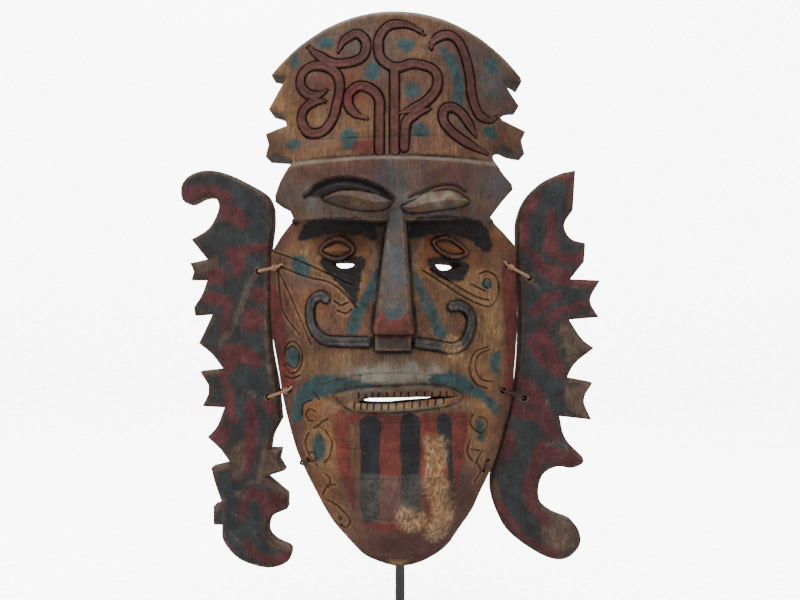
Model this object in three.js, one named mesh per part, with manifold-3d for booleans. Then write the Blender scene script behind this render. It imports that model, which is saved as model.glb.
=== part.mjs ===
// A carved wooden spirit mask: one carved face with its tall crown, two flat
// side boards lashed to its edges, and a steel display stand.
// The shapes are drawn as seen from the front: u to the right, v up from the
// chin, d toward the viewer from the plane of the mask's rim. At the end the
// drawing is turned upright, so that u is X, d is -Y and v is Z.

import * as THREE from 'three';
import { mergeVertices } from 'three/addons/utils/BufferGeometryUtils.js';
import Module from 'manifold-3d';

const wasm = await Module();
wasm.setup();

// Driving sizes, in millimetres
const MASK_HEIGHT = 430;      // chin to the top of the crown
const FACE_WALL = 13;         // thickness of the hollowed face
const CROWN_WALL = 24;        // thickness of the crown
const RIM_WIDTH = 14;         // flat rim left around the hollow
const BAND_RISE = 2.2;        // raised scroll bands on the crown
const BAND_WIDTH = 6;
const GROOVE_DEPTH = 2;       // carved lines
const GROOVE_WIDTH = 3;
const EAR_THICKNESS = 15;
const EAR_BEVEL = 2.5;
const EAR_SETBACK = 2;        // back of the side boards, in front of the rim plane
const CANE_DIAMETER = 2.8;    // rattan ties
const WIRE_DIAMETER = 2;      // dark twisted tie and small loops
const TIE_HOLE = 5.2;
const WIRE_HOLE = 4;
const TIE_CLEARANCE = 0.9;    // between a tie and the faces that it crosses
const ROD_DIAMETER = 8;
const BAR_HEIGHT = 14;        // crossbar behind the chin
const BAR_THICKNESS = 4;
const SCREW_DIAMETER = 4;
const SCREW_LENGTH = 11;
const SCREW_HEAD = 8;
const CHIN_CLEARANCE = 100;   // chin above the ground
const FOOT_WIDTH = 190;
const FOOT_DEPTH = 140;
const FOOT_THICKNESS = 8;
const FOOT_FORWARD = 14;      // centre of the foot, in front of the rim plane
const GAP = 0.3;              // between pieces that touch

// The free forms are drawn for a mask 430 high and scaled with its height
const SCALE = MASK_HEIGHT / 430;
const scaled = (sizes) => sizes.map((size) => size * SCALE);

const SINK = 4;               // how far a raised form reaches into the wood below it
const OVER = 3;               // how far a cutter stands out of what it cuts
const SLIVER = 0.05;          // facets thinner than this are merged

// Materials
const paint = (color, roughness, metalness = 0) =>
  new THREE.MeshStandardMaterial({ color, roughness, metalness });
const paintedWood = paint(0x8a6040, 0.8);
const darkBoard = paint(0x4a3f3c, 0.8);
const cane = paint(0xb5865a, 0.6);
const darkWire = paint(0x2c2724, 0.6);
const blackSteel = paint(0x1c1c1e, 0.45, 0.6);

// Solids and meshes

function toSolid(geometry) {
  const bare = geometry.index ? geometry.clone() : geometry;
  bare.deleteAttribute('normal');
  bare.deleteAttribute('uv');
  const merged = mergeVertices(bare, 1e-4);
  return new wasm.Manifold(new wasm.Mesh({
    numProp: 3,
    vertProperties: new Float32Array(merged.attributes.position.array),
    triVerts: new Uint32Array(merged.index.array),
  }));
}

function toMesh(name, solid, material) {
  const { vertProperties, triVerts } = solid.getMesh();
  const geometry = new THREE.BufferGeometry();
  geometry.setAttribute('position', new THREE.BufferAttribute(vertProperties, 3));
  geometry.setIndex(new THREE.BufferAttribute(triVerts, 1));
  geometry.computeVertexNormals();
  const mesh = new THREE.Mesh(geometry, material);
  mesh.name = name;
  return mesh;
}

// A closed solid from rings of points: each ring is one cross-section, all rings have
// the same number of points, and the faces are turned out whichever way the rings run.
function loft(rings) {
  const count = rings[0].length;
  const points = rings.flat();
  const index = [];
  for (let i = 0; i + 1 < rings.length; i++) {
    for (let j = 0; j < count; j++) {
      const a = i * count + j;
      const b = i * count + (j + 1) % count;
      index.push(a, b, b + count, a, b + count, a + count);
    }
  }
  const last = (rings.length - 1) * count;
  for (let j = 1; j + 1 < count; j++) {
    index.push(0, j + 1, j);
    index.push(last, last + j, last + j + 1);
  }
  const geometry = new THREE.BufferGeometry();
  geometry.setAttribute('position', new THREE.Float32BufferAttribute(points.flat(), 3));
  geometry.setIndex(index);
  const solid = toSolid(geometry);
  if (solid.volume() > 0) return solid;
  geometry.setIndex(index.reverse());
  return toSolid(geometry);
}

// A block between two surfaces over a grid of (u, v) places
function slab(places, front, back) {
  const rows = places.length;
  const columns = places[0].length;
  const points = [];
  for (const surface of [front, back]) {
    for (const row of places) {
      for (const [u, v] of row) points.push(u, v, surface(u, v));
    }
  }
  const at = (side, i, j) => side * rows * columns + i * columns + j;
  const index = [];
  const quad = (a, b, c, d) => index.push(a, b, c, a, c, d);
  for (let i = 0; i + 1 < rows; i++) {
    for (let j = 0; j + 1 < columns; j++) {
      quad(at(0, i, j), at(0, i, j + 1), at(0, i + 1, j + 1), at(0, i + 1, j));
      quad(at(1, i, j), at(1, i + 1, j), at(1, i + 1, j + 1), at(1, i, j + 1));
    }
  }
  for (let j = 0; j + 1 < columns; j++) {
    quad(at(1, 0, j), at(1, 0, j + 1), at(0, 0, j + 1), at(0, 0, j));
    quad(at(0, rows - 1, j), at(0, rows - 1, j + 1), at(1, rows - 1, j + 1), at(1, rows - 1, j));
  }
  for (let i = 0; i + 1 < rows; i++) {
    quad(at(1, i + 1, 0), at(1, i, 0), at(0, i, 0), at(0, i + 1, 0));
    const last = columns - 1;
    quad(at(1, i, last), at(1, i + 1, last), at(0, i + 1, last), at(0, i, last));
  }
  const geometry = new THREE.BufferGeometry();
  geometry.setAttribute('position', new THREE.Float32BufferAttribute(points, 3));
  geometry.setIndex(index);
  return toSolid(geometry);
}

// Straight block cut from an outline, between two depths
function prism(shape, from, to) {
  const geometry = new THREE.ExtrudeGeometry(shape, { depth: to - from, bevelEnabled: false });
  geometry.translate(0, 0, from);
  return toSolid(geometry);
}

function box(u0, u1, v0, v1, d0, d1) {
  const geometry = new THREE.BoxGeometry(u1 - u0, v1 - v0, d1 - d0);
  geometry.translate((u0 + u1) / 2, (v0 + v1) / 2, (d0 + d1) / 2);
  return toSolid(geometry);
}

// A round pin along the depth direction
function pin(u, v, diameter, from, to, sides = 12) {
  const geometry = new THREE.CylinderGeometry(diameter / 2, diameter / 2, to - from, sides);
  geometry.rotateX(Math.PI / 2);
  geometry.translate(u, v, (from + to) / 2);
  return toSolid(geometry);
}

// Outlines: c is a corner, r a place that a round stretch passes through.
const c = (u, v) => ({ at: [u * SCALE, v * SCALE], round: false });
const r = (u, v) => ({ at: [u * SCALE, v * SCALE], round: true });
const ROUND_STEPS = 2;        // points on a round stretch between two drawn places

function outline(drawn, steps = ROUND_STEPS) {
  const count = drawn.length;
  const place = (i) => new THREE.Vector2(...drawn[(i + count) % count].at);
  const points = [];
  for (let i = 0; i < count; i++) {
    const from = drawn[i];
    const to = drawn[(i + 1) % count];
    const a = place(i);
    const b = place(i + 1);
    points.push(a);
    if (!from.round && !to.round) continue;
    const before = from.round ? place(i - 1) : a;
    const after = to.round ? place(i + 2) : b;
    const slopeA = b.clone().sub(before).multiplyScalar(from.round ? 0.5 : 1);
    const slopeB = after.clone().sub(a).multiplyScalar(to.round ? 0.5 : 1);
    for (let k = 1; k < steps; k++) {
      const t = k / steps;
      const h = t * t * (3 - 2 * t);
      const ha = t * (1 - t) * (1 - t);
      const hb = -t * t * (1 - t);
      points.push(a.clone().lerp(b, h).addScaledVector(slopeA, ha).addScaledVector(slopeB, hb));
    }
  }
  return new THREE.Shape(points);
}

// The mask's surface

// Smooth value between rows of [v, value]
function along(rows, v) {
  if (v <= rows[0][0]) return rows[0][1];
  for (let i = 0; i + 1 < rows.length; i++) {
    const [v0, a] = rows[i];
    const [v1, b] = rows[i + 1];
    if (v <= v1) {
      const t = (v - v0) / (v1 - v0);
      return a + (b - a) * t * t * (3 - 2 * t);
    }
  }
  return rows[rows.length - 1][1];
}

const MASK_AXIS = -4;         // the carving stands a little to the left
const BROW_LINE = 267.5;      // under edge of the forehead
const LEDGE_LOW = 311;        // bevel between forehead and crown
const LEDGE_HIGH = 315.5;
const CROWN_BEVEL = 5;
const EDGE_DEPTH = [[0, 20], [30, 24], [250, 20], [268, 22], [311, 26], [330, 24], [430, 22]];
const HALF_WIDTH = [[0, 34], [20, 46], [50, 66], [100, 86], [140, 94], [200, 100], [430, 105]];
const FACE_DEPTH = [
  [0, 27], [14, 40], [40, 51], [80, 60], [125, 64], [175, 64], [205, 59], [232, 52], [252, 49], [270, 50],
];
const FOREHEAD_DEPTH = [[266, 66], [290, 69], [312, 70]];
const CROWN_DEPTH = [[315, 63], [370, 60], [430, 51]];
const HOLLOW_DEPTH = [
  [0, 30], [40, 39], [80, 47], [175, 51], [205, 46], [252, 36], [270, 38], [292, 50], [311, 50], [332, 38],
];

const browLine = (u) => BROW_LINE + 3.5 * ((u - MASK_AXIS) / 80) ** 2;
const crownTop = (u) => 429 - 41 * Math.min(1, Math.abs((u - MASK_AXIS) / 101)) ** 2.2;

// Depth across the mask: full at the axis, down to the edge depth at the sides
function arched(u, v, centre, edge) {
  const t = (u - MASK_AXIS) / along(HALF_WIDTH, v);
  return edge + (centre - edge) * (1 - t * t);
}

function drawnFront(u, v) {
  const edge = along(EDGE_DEPTH, v);
  if (v < browLine(u)) return arched(u, v, along(FACE_DEPTH, v), edge);
  const forehead = arched(u, v, along(FOREHEAD_DEPTH, v), edge);
  if (v <= LEDGE_LOW) return forehead;
  const crown = arched(u, v, along(CROWN_DEPTH, v), edge);
  const step = Math.min(1, (v - LEDGE_LOW) / (LEDGE_HIGH - LEDGE_LOW));
  const bevel = Math.max(0, CROWN_BEVEL - (crownTop(u) - v));
  return forehead + (crown - forehead) * step - bevel;
}

const front = (u, v) => Math.max(3, drawnFront(u / SCALE, v / SCALE)) * SCALE;

// The hollow behind follows a smoother face, and the crown has one thickness
function hollow(u, v) {
  const du = u / SCALE;
  const dv = v / SCALE;
  const crown = front(u, Math.min(v, (crownTop(du) - CROWN_BEVEL) * SCALE)) - CROWN_WALL;
  const inner = arched(du, dv, along(HOLLOW_DEPTH, dv) + 13, 12) * SCALE - FACE_WALL;
  const blend = Math.min(1, Math.max(0, (dv - 305) / 25));
  return Math.max(-OVER, inner + (crown - inner) * blend);
}

// Grid of places; the rows above the forehead bend with the brow and the crown's top
const COLUMNS = [
  -112, -104, -94, -83, -72, -61, -50, -39, -28, -16, -4, 8, 20, 31, 42, 53, 64, 75, 86, 96, 106,
];
const FACE_ROWS = [-6, 6, 16, 30, 48, 70, 95, 125, 155, 180, 200, 218, 234, 250];
const FOREHEAD_ROWS = [0.5, 12, 26];
const CROWN_ROWS = [0, 0.25, 0.5, 0.75];

function frontPlaces() {
  const rows = FACE_ROWS.map((v) => COLUMNS.map((u) => [u, v]));
  rows.push(COLUMNS.map((u) => [u, browLine(u) - 0.1]));
  for (const rise of FOREHEAD_ROWS) rows.push(COLUMNS.map((u) => [u, browLine(u) + rise]));
  rows.push(COLUMNS.map((u) => [u, LEDGE_LOW]));
  for (const share of CROWN_ROWS) {
    rows.push(COLUMNS.map((u) => [u, LEDGE_HIGH + share * (crownTop(u) - CROWN_BEVEL - LEDGE_HIGH)]));
  }
  rows.push(COLUMNS.map((u) => [u, crownTop(u) - CROWN_BEVEL]));
  rows.push(COLUMNS.map((u) => [u, crownTop(u) + 1]));
  return rows.map((row) => row.map(([u, v]) => [u * SCALE, v * SCALE]));
}

const CROWN_ARC_STEPS = 22;
function crownArc() {
  const from = -103;
  const to = 97;
  const places = [];
  for (let i = 0; i <= CROWN_ARC_STEPS; i++) {
    // closer together toward the steep ends
    const u = (from + to) / 2 - ((to - from) / 2) * Math.cos((Math.PI * i) / CROWN_ARC_STEPS);
    places.push(c(u, crownTop(u)));
  }
  return places;
}

const LEFT_SIDE = [
  r(-1, 0), r(-14, 3), r(-32, 15), r(-51, 36), r(-72, 71), r(-88, 113), r(-98, 162), r(-103, 190),
  r(-104, 225), c(-103, 248), r(-94, 260), c(-82, 273), c(-86, 281), c(-98, 287), c(-98, 292),
  r(-92, 303), c(-82, 316), c(-92, 323), c(-107, 324), c(-104, 333), c(-107, 342), c(-88, 345),
  r(-91, 354), c(-104, 361), r(-98, 369), c(-88, 383), c(-92, 386),
];
const RIGHT_SIDE = [
  c(96, 382), c(88, 384), c(80, 380), r(86, 372), c(94, 363), r(84, 360), c(76, 352), c(80, 349),
  c(100, 344), c(96, 336), c(99, 326), r(88, 328), r(80, 331), c(72, 326), c(71, 318), r(78, 308),
  c(87, 300), c(88, 296), r(79, 286), c(69, 273), r(80, 264), c(93, 252), r(93, 218), r(93, 176),
  r(89, 132), r(82, 105), r(72, 74), r(56, 43), r(40, 18), r(24, 6), r(12, 1),
];

// The rim of the hollow: the same sides drawn inward, open to the top
const HOLLOW_HALF = [
  [0, 0], [12, 8], [20, 24], [36, 40], [60, 56], [90, 70], [130, 80], [170, 87], [245, 89], [262, 82],
  [275, 64], [290, 70], [312, 62], [330, 66], [345, 80],
];
function hollowOutline() {
  const inset = RIM_WIDTH - 14;
  const left = [];
  const right = [];
  for (const [v, half] of HOLLOW_HALF) {
    const open = v > 340;
    const side = Math.max(0, half * SCALE - inset);
    const height = v * SCALE + (v < 20 ? RIM_WIDTH - 6 : 0);
    left.push([open ? -130 * SCALE : MASK_AXIS * SCALE - side, height]);
    right.push([open ? 130 * SCALE : MASK_AXIS * SCALE + side, height]);
  }
  const top = MASK_HEIGHT + 10 * SCALE;
  left.push([-130 * SCALE, top]);
  right.push([130 * SCALE, top]);
  const loop = [...right, ...left.slice(1).reverse()];
  return new THREE.Shape(loop.map(([u, v]) => new THREE.Vector2(u, v)));
}

const HOLLOW_COLUMNS = [-130, -104, -82, -60, -38, -16, 8, 30, 52, 74, 96, 130];
const HOLLOW_ROWS = [-6, 20, 45, 80, 130, 180, 215, 245, 270, 292, 312, 335, 365, 395, 445];

// Carved forms on the surface

function curve(points) {
  const places = points.map(([u, v]) => new THREE.Vector3(u * SCALE, v * SCALE, 0));
  return new THREE.CatmullRomCurve3(places, false, 'centripetal');
}

// A raised band, or with a negative rise a cutter for a groove, along a curve
function band(points, width, rise, steps = points.length * 2, taper = 0.5) {
  const path = curve(points);
  const rings = [];
  for (let i = 0; i <= steps; i++) {
    const p = path.getPointAt(i / steps);
    const t = path.getTangentAt(i / steps);
    const half = (width / 2) * (i === 0 || i === steps ? taper : 1);
    const left = [p.x - t.y * half, p.y + t.x * half];
    const right = [p.x + t.y * half, p.y - t.x * half];
    if (rise > 0) {
      rings.push([
        [...left, front(...left) - SINK], [...right, front(...right) - SINK],
        [...right, front(...right) + rise], [...left, front(...left) + rise],
      ]);
    } else {
      rings.push([
        [p.x, p.y, front(p.x, p.y) + rise],
        [...right, front(...right) + 0.5], [...left, front(...left) + 0.5],
      ]);
    }
  }
  return loft(rings);
}

// A leaf between a lower and an upper curve, with a ridge that stands out
function leaf(lower, ridge, upper, rise, edge, steps = 8, surface = front) {
  const curves = [lower, ridge, upper].map(curve);
  const rings = [];
  for (let i = 0; i <= steps; i++) {
    const t = Math.min(0.985, Math.max(0.015, i / steps));
    const [low, mid, high] = curves.map((path) => path.getPointAt(t));
    const base = Math.min(surface(low.x, low.y), surface(mid.x, mid.y), surface(high.x, high.y)) - SINK;
    const swell = Math.sin(Math.PI * t) ** 0.6;
    rings.push([
      [low.x, low.y, base],
      [low.x, low.y, surface(low.x, low.y) + edge],
      [mid.x, mid.y, surface(mid.x, mid.y) + edge + (rise - edge) * swell],
      [high.x, high.y, surface(high.x, high.y) + edge],
      [high.x, high.y, base],
    ]);
  }
  return loft(rings);
}

// Eyes: an almond lid with a smaller almond in it; the gap cut below each one is the peephole
function almond(u, v, halfLength, halfHeight, tilt, rise, edge) {
  const across = Math.cos(tilt);
  const up = Math.sin(tilt);
  const turn = (x, y) => [u + x * across - y * up, v + x * up + y * across];
  const places = [-1, -0.6, 0, 0.6, 1];
  const lobe = (side) => places.map((s) => turn(s * halfLength, side * halfHeight * (1 - s * s)));
  return leaf(lobe(-1), lobe(0), lobe(1), rise, edge, 8);
}

// A through cut with round ends
function slot(u, v, halfLength, halfHeight, tilt) {
  const shape = new THREE.Shape();
  const sizes = scaled([u, v, halfLength, halfHeight]);
  shape.absellipse(...sizes, 0, Math.PI * 2, false, tilt);
  const points = shape.getPoints(5).slice(0, -1);
  return prism(new THREE.Shape(points), -OVER, MASK_HEIGHT / 3);
}

function nose() {
  // v, left, right, front depth
  const sections = [
    [276, -8, 3, 67], [266, -9, 4, 68.5], [240, -12, 5, 74], [212, -15, 7, 82],
    [196, -17, 8, 88], [189, -18, 9, 90], [185, -18, 9, 87],
  ];
  const rings = sections.map(([v, left, right, depth]) => [
    [left - 2.5, v, 44], [right + 2.5, v, 44], [right, v, depth - 3], [right - 2, v, depth],
    [left + 2, v, depth], [left, v, depth - 3],
  ].map(scaled));
  return loft(rings);
}

function noseBlock() {
  return box(...scaled([-18, 8, 174, 185.5, 52, 74]));
}

const MOUSTACHE_LEFT = [
  [-58, 212], [-64, 212], [-68, 206], [-68, 197], [-66, 189], [-61, 183], [-53, 179], [-40, 179],
  [-24, 179],
];
const MOUSTACHE_RIGHT = [
  [17, 178], [29, 176], [39, 174.5], [48, 178], [53, 187], [54, 195], [51, 202], [45, 205], [39, 205],
];
const MOUSTACHE_WIDTH = 7;
const MOUSTACHE_RISE = 3.5;

const CROWN_SCROLLS = [
  [[-70, 403], [-58, 392], [-43, 386], [-31, 388], [-25, 399], [-30, 408], [-39, 407], [-46, 397]],
  [[-55, 367], [-69, 365], [-76, 375], [-71, 386], [-56, 385], [-46, 375], [-45, 362], [-49, 348],
    [-58, 336], [-70, 337], [-75, 348], [-68, 358], [-56, 359]],
  [[-24, 343], [-34, 348], [-38, 358], [-32, 367], [-21, 365], [-15, 355], [-15, 342], [-15, 319]],
  [[18, 408], [8, 414.5], [-7, 414], [-15, 406], [-16, 394], [-7, 382], [4, 382], [18, 383], [27, 377],
    [26, 364], [14, 352], [1, 347]],
  [[-4, 380], [-4, 350], [-4, 319]],
  [[22, 351], [11, 346], [5, 339], [3, 322]],
  [[23, 397], [26, 405], [36, 409], [46, 402], [51, 387], [54, 365], [60, 350], [74, 350]],
  [[66, 321], [50, 327], [37, 336], [32, 345], [37, 353], [46, 349], [57, 333]],
];

const FOREHEAD_GROOVES = [
  {
    line: [[-71, 288], [-60, 294], [-50, 296], [-37, 296], [-25, 293], [-14, 288], [-7, 283]],
    width: 6,
    depth: 3.5,
  },
  { line: [[7, 284], [18, 290], [29, 293.5], [40, 294], [49, 289]], width: 4, depth: 2 },
];
const CHEEK_GROOVES = [
  [[-101, 248], [-78, 240], [-53, 229], [-37, 221]],
  [[-92, 235], [-73, 228], [-53, 223], [-41, 214], [-32, 204]],
  [[-95, 230], [-86, 214], [-77, 196], [-69, 180]],
  [[17, 232], [30, 224], [45, 214], [57, 208], [69, 205], [76, 212], [77, 222], [70, 231], [61, 230]],
  [[67, 174], [57, 171], [53, 163], [53, 154], [58, 146], [67, 142]],
  [[-88, 171], [-83, 174], [-78, 169], [-78, 162], [-83, 157], [-88, 160]],
  [[-49, 70], [-57, 66], [-59, 57], [-50, 53], [-41, 47], [-38, 40], [-43, 36]],
];

function mouthLips() {
  const lower = [[-49, 138.5], [-40, 130], [-22, 128], [0, 128], [22, 129], [35, 131], [47, 138.5]];
  const ridge = [[-49, 139], [-25, 137], [0, 137], [25, 138], [47, 139]];
  const upper = [[-49, 139.5], [-40, 144], [-20, 146.5], [0, 148], [22, 149], [36, 145.5], [47, 139.5]];
  return leaf(lower, ridge, upper, 5, 2.5, 10);
}

function browLeaf(lower, ridge, upper) {
  return leaf(lower, ridge, upper, 6, 0.6);
}

const leftBrowLeaf = () => browLeaf(
  [[-57, 284.5], [-44, 279], [-32, 276], [-22, 275], [-11, 276], [-6, 280]],
  [[-57, 285], [-43, 286], [-32, 284.5], [-18, 281.5], [-6, 280.5]],
  [[-57, 285.5], [-47, 289], [-36, 290], [-21, 288], [-11, 284.5], [-6, 281]],
);
const rightBrowLeaf = () => browLeaf(
  [[1, 276], [5, 274], [14, 273.5], [29, 276], [44, 279], [52, 283]],
  [[1, 276.5], [9, 277.5], [22, 281], [36, 283], [52, 283.5]],
  [[1, 277], [11, 283], [18, 287], [29, 289.5], [38, 290], [46, 287.5], [52, 284]],
);

// Where the ties pass: a hole in the board and one in the mask's edge
const TIES = [
  { name: 'tie_upper_left', ear: [-114, 233], face: [-97, 236], diameter: CANE_DIAMETER, material: cane },
  { name: 'tie_lower_left', ear: [-106, 132], face: [-87, 140], diameter: CANE_DIAMETER, material: cane },
  { name: 'tie_upper_right', ear: [104, 228], face: [85, 237], diameter: CANE_DIAMETER, material: cane },
  { name: 'tie_lower_right', ear: [100, 131], face: [81, 139], diameter: WIRE_DIAMETER, material: darkWire },
].map((tie) => ({ ...tie, ear: scaled(tie.ear), face: scaled(tie.face) }));

// Small wire loops at the edge of the chin, by the two places of their legs: the left
// one goes around the edge, and the right one through two holes
const CHIN_LOOPS = [
  { name: 'chin_loop_left', legs: [[-78.5, 82], [-71, 86]] },
  { name: 'chin_loop_right', legs: [[66, 76.5], [68.5, 84]] },
].map(({ name, legs }) => ({ name, legs: legs.map(scaled) }));

const BAR_LEVEL = 98 * SCALE;
const BAR_LEFT = -75 * SCALE;
const BAR_RIGHT = 72 * SCALE;
const BAR_END = 6;            // bar beyond each screw

function carvedMask() {
  const drawn = [...LEFT_SIDE, ...crownArc(), ...RIGHT_SIDE].reverse();
  const block = prism(outline(drawn), 0, MASK_HEIGHT / 3);
  let mask = slab(frontPlaces(), front, () => -OVER * 3).intersect(block);
  const hollowPlaces = HOLLOW_ROWS.map((v) => HOLLOW_COLUMNS.map((u) => [u * SCALE, v * SCALE]));
  const behind = prism(hollowOutline(), -OVER * 3, MASK_HEIGHT / 3);
  const hollowed = slab(hollowPlaces, hollow, () => -OVER * 2).intersect(behind);
  const raised = [
    nose(), noseBlock(), mouthLips(), leftBrowLeaf(), rightBrowLeaf(),
    almond(-48, 249, 14.5, 9.5, 0, 9, 4), almond(38, 249.5, 15, 9, -0.28, 9, 4),
    ...[MOUSTACHE_LEFT, MOUSTACHE_RIGHT].map((line) => band(line, MOUSTACHE_WIDTH, MOUSTACHE_RISE, 14)),
    ...CROWN_SCROLLS.map((line) => band(line, BAND_WIDTH, BAND_RISE, Math.ceil(line.length * 1.4), 0.7)),
  ];
  for (const form of raised) mask = mask.add(form);
  mask = mask.subtract(hollowed);
  const screwHole = SCREW_DIAMETER + 2 * GAP;
  const cuts = [
    slot(-44, 236.6, 9.5, 3.8, 0), slot(36, 235.6, 11, 3.7, -0.05), slot(-1, 136.7, 34, 3.2, 0.04),
    ...FOREHEAD_GROOVES.map(({ line, width, depth }) => band(line, width, -depth, 9, 0.2)),
    ...CHEEK_GROOVES.map((line) => band(line, GROOVE_WIDTH, -GROOVE_DEPTH, line.length + 2)),
    ...TIES.map((tie) => pin(...tie.face, TIE_HOLE, -OVER, MASK_HEIGHT / 4, 8)),
    ...CHIN_LOOPS.flatMap((loop) => loop.legs).map((leg) => pin(...leg, WIRE_HOLE, -OVER, MASK_HEIGHT / 4, 8)),
    ...[BAR_LEFT, BAR_RIGHT].map((u) => pin(u, BAR_LEVEL, screwHole, -OVER, SCREW_LENGTH + 1, 12)),
  ];
  for (const cut of cuts) mask = mask.subtract(cut);
  return toMesh('carved_mask', largest(mask).simplify(SLIVER), paintedWood);
}

// Crossing bands leave slivers between them, which aren't kept
function largest(solid) {
  return solid.decompose().reduce((best, piece) => (piece.volume() > best.volume() ? piece : best));
}

// Side boards

const LEFT_EAR = [
  c(-102.5, 284), r(-106, 293), r(-113, 299), r(-138, 311.5), r(-156, 315), r(-170, 311), r(-177, 302),
  r(-176, 291), r(-169, 288), r(-158, 293), r(-149, 292), r(-147, 283), r(-155, 268), c(-169, 259),
  c(-156, 243), c(-170, 240), c(-167, 233), c(-169, 226), c(-156, 226), r(-160, 215), c(-167, 204),
  c(-166, 197), c(-152, 198), r(-158, 185), c(-163, 175), r(-152, 166), c(-143, 154), c(-162, 152),
  c(-155, 141), c(-155, 134), c(-160, 124), c(-142, 123), r(-148, 108), c(-156, 99), c(-145, 89),
  c(-137, 78), c(-153, 74), r(-150, 62), c(-144, 45), c(-151, 43), c(-151, 28), c(-144, 28), r(-143, 15),
  r(-131, 1), r(-113, -6), r(-100, -6), r(-90, -1), r(-88, 6), c(-90, 9), r(-102, 15), r(-107, 23),
  r(-103, 35), c(-91, 41), c(-91, 52), c(-109, 67), c(-93, 72), c(-98, 80), c(-96, 89), c(-105, 89),
  r(-103, 100), c(-96, 113), r(-99, 142), r(-104.5, 174), r(-105.3, 210), c(-105.3, 248), r(-102.5, 270),
];
const RIGHT_EAR = [
  c(142, 315), r(129, 312), r(113, 304), r(101, 291), r(95, 275), r(94.4, 262), r(95, 240), r(96.5, 205),
  r(96, 170), r(92.5, 137), r(83, 101), r(75, 73), r(74, 53), r(83, 29), r(99, 13.5), r(119, 2),
  r(134, 0.5), r(144, 9), r(146, 19), r(140, 30), r(124, 37), r(114, 46), r(112, 57), r(116, 69),
  r(127, 75), r(139, 74), r(148, 78), c(148, 83), r(134, 98), c(129, 116), c(155, 113), r(149, 129),
  c(156, 143), c(135, 147), r(142, 159), c(157, 171), r(147, 179), c(137, 194), c(161, 196), r(154, 210),
  c(162, 226), c(138, 227), c(149, 241), c(150, 256), r(138, 260), r(133, 271), c(140, 283),
];

function sideBoard(name, drawn, holes) {
  const shape = outline(drawn);
  const geometry = new THREE.ExtrudeGeometry(shape, {
    depth: EAR_THICKNESS - 2 * EAR_BEVEL,
    bevelThickness: EAR_BEVEL,
    bevelSize: EAR_BEVEL,
    bevelOffset: -EAR_BEVEL,
    bevelSegments: 1,
  });
  geometry.translate(0, 0, EAR_SETBACK + EAR_BEVEL);
  let board = toSolid(geometry);
  for (const [u, v] of holes) {
    board = board.subtract(pin(u, v, TIE_HOLE, -OVER, EAR_SETBACK + EAR_THICKNESS + OVER, 8));
  }
  return toMesh(name, board, darkBoard);
}

// A closed loop of cane or wire that runs through two places and lies over both faces
function lashing(name, ends, fronts, diameter, material, steps = 20) {
  const lift = diameter / 2 + TIE_CLEARANCE;
  const [a, b] = ends.map((end) => new THREE.Vector2(...end));
  const corners = [
    new THREE.Vector3(a.x, a.y, -lift), new THREE.Vector3(a.x, a.y, fronts[0] + lift),
    new THREE.Vector3(b.x, b.y, fronts[1] + lift), new THREE.Vector3(b.x, b.y, -lift),
  ];
  const toward = (from, to) => from.clone().add(to.clone().sub(from).setLength(diameter * 0.9));
  const path = new THREE.CurvePath();
  corners.forEach((corner, i) => {
    const before = corners[(i + 3) % 4];
    const after = corners[(i + 1) % 4];
    path.add(new THREE.QuadraticBezierCurve3(toward(corner, before), corner, toward(corner, after)));
    path.add(new THREE.LineCurve3(toward(corner, after), toward(after, corner)));
  });
  const tube = new THREE.TubeGeometry(path, steps, diameter / 2, 6, true);
  return toMesh(name, toSolid(tube), material);
}

// Stand

function stand() {
  const barFront = -GAP;
  const barBack = barFront - BAR_THICKNESS;
  const rodDepth = barBack - ROD_DIAMETER / 2 + 1;
  const middle = 0;
  const foot = -CHIN_CLEARANCE + FOOT_THICKNESS;
  const rodTop = BAR_LEVEL + BAR_HEIGHT / 2;
  const rod = new THREE.CylinderGeometry(ROD_DIAMETER / 2, ROD_DIAMETER / 2, rodTop - foot - GAP, 20);
  rod.translate(middle, (rodTop + foot + GAP) / 2, rodDepth);
  let frame = toSolid(rod);
  const barLow = BAR_LEVEL - BAR_HEIGHT / 2;
  frame = frame.add(box(BAR_LEFT - BAR_END, BAR_RIGHT + BAR_END, barLow, rodTop, barBack, barFront));
  for (const u of [BAR_LEFT, BAR_RIGHT]) {
    frame = frame.add(pin(u, BAR_LEVEL, SCREW_DIAMETER, barBack - 1, SCREW_LENGTH, 12));
    frame = frame.add(pin(u, BAR_LEVEL, SCREW_HEAD, barBack - SCREW_HEAD / 4, barBack + 1, 12));
  }
  const halfWidth = FOOT_WIDTH / 2;
  const halfDepth = FOOT_DEPTH / 2;
  const plate = box(
    -halfWidth, halfWidth, -CHIN_CLEARANCE, foot, FOOT_FORWARD - halfDepth, FOOT_FORWARD + halfDepth);
  return [toMesh('stand_rod', frame, blackSteel), toMesh('stand_foot', plate, blackSteel)];
}

// The whole object

const drawing = new THREE.Group();
drawing.add(carvedMask());
const earHoles = TIES.map((tie) => tie.ear);
drawing.add(sideBoard('left_ear', [...LEFT_EAR].reverse(), [earHoles[0], earHoles[1]]));
drawing.add(sideBoard('right_ear', [...RIGHT_EAR].reverse(), [earHoles[2], earHoles[3]]));
for (const tie of TIES) {
  const fronts = [EAR_SETBACK + EAR_THICKNESS, front(...tie.face) + 2];
  drawing.add(lashing(tie.name, [tie.ear, tie.face], fronts, tie.diameter, tie.material));
}
for (const { name, legs } of CHIN_LOOPS) {
  const fronts = legs.map((leg) => front(...leg) + 1);
  drawing.add(lashing(name, legs, fronts, WIRE_DIAMETER, darkWire, 14));
}
drawing.add(...stand());
drawing.rotation.x = Math.PI / 2;
drawing.position.set(0, FOOT_FORWARD, CHIN_CLEARANCE);

const dayakMask = new THREE.Group();
dayakMask.add(drawing);
export default dayakMask;
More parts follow.
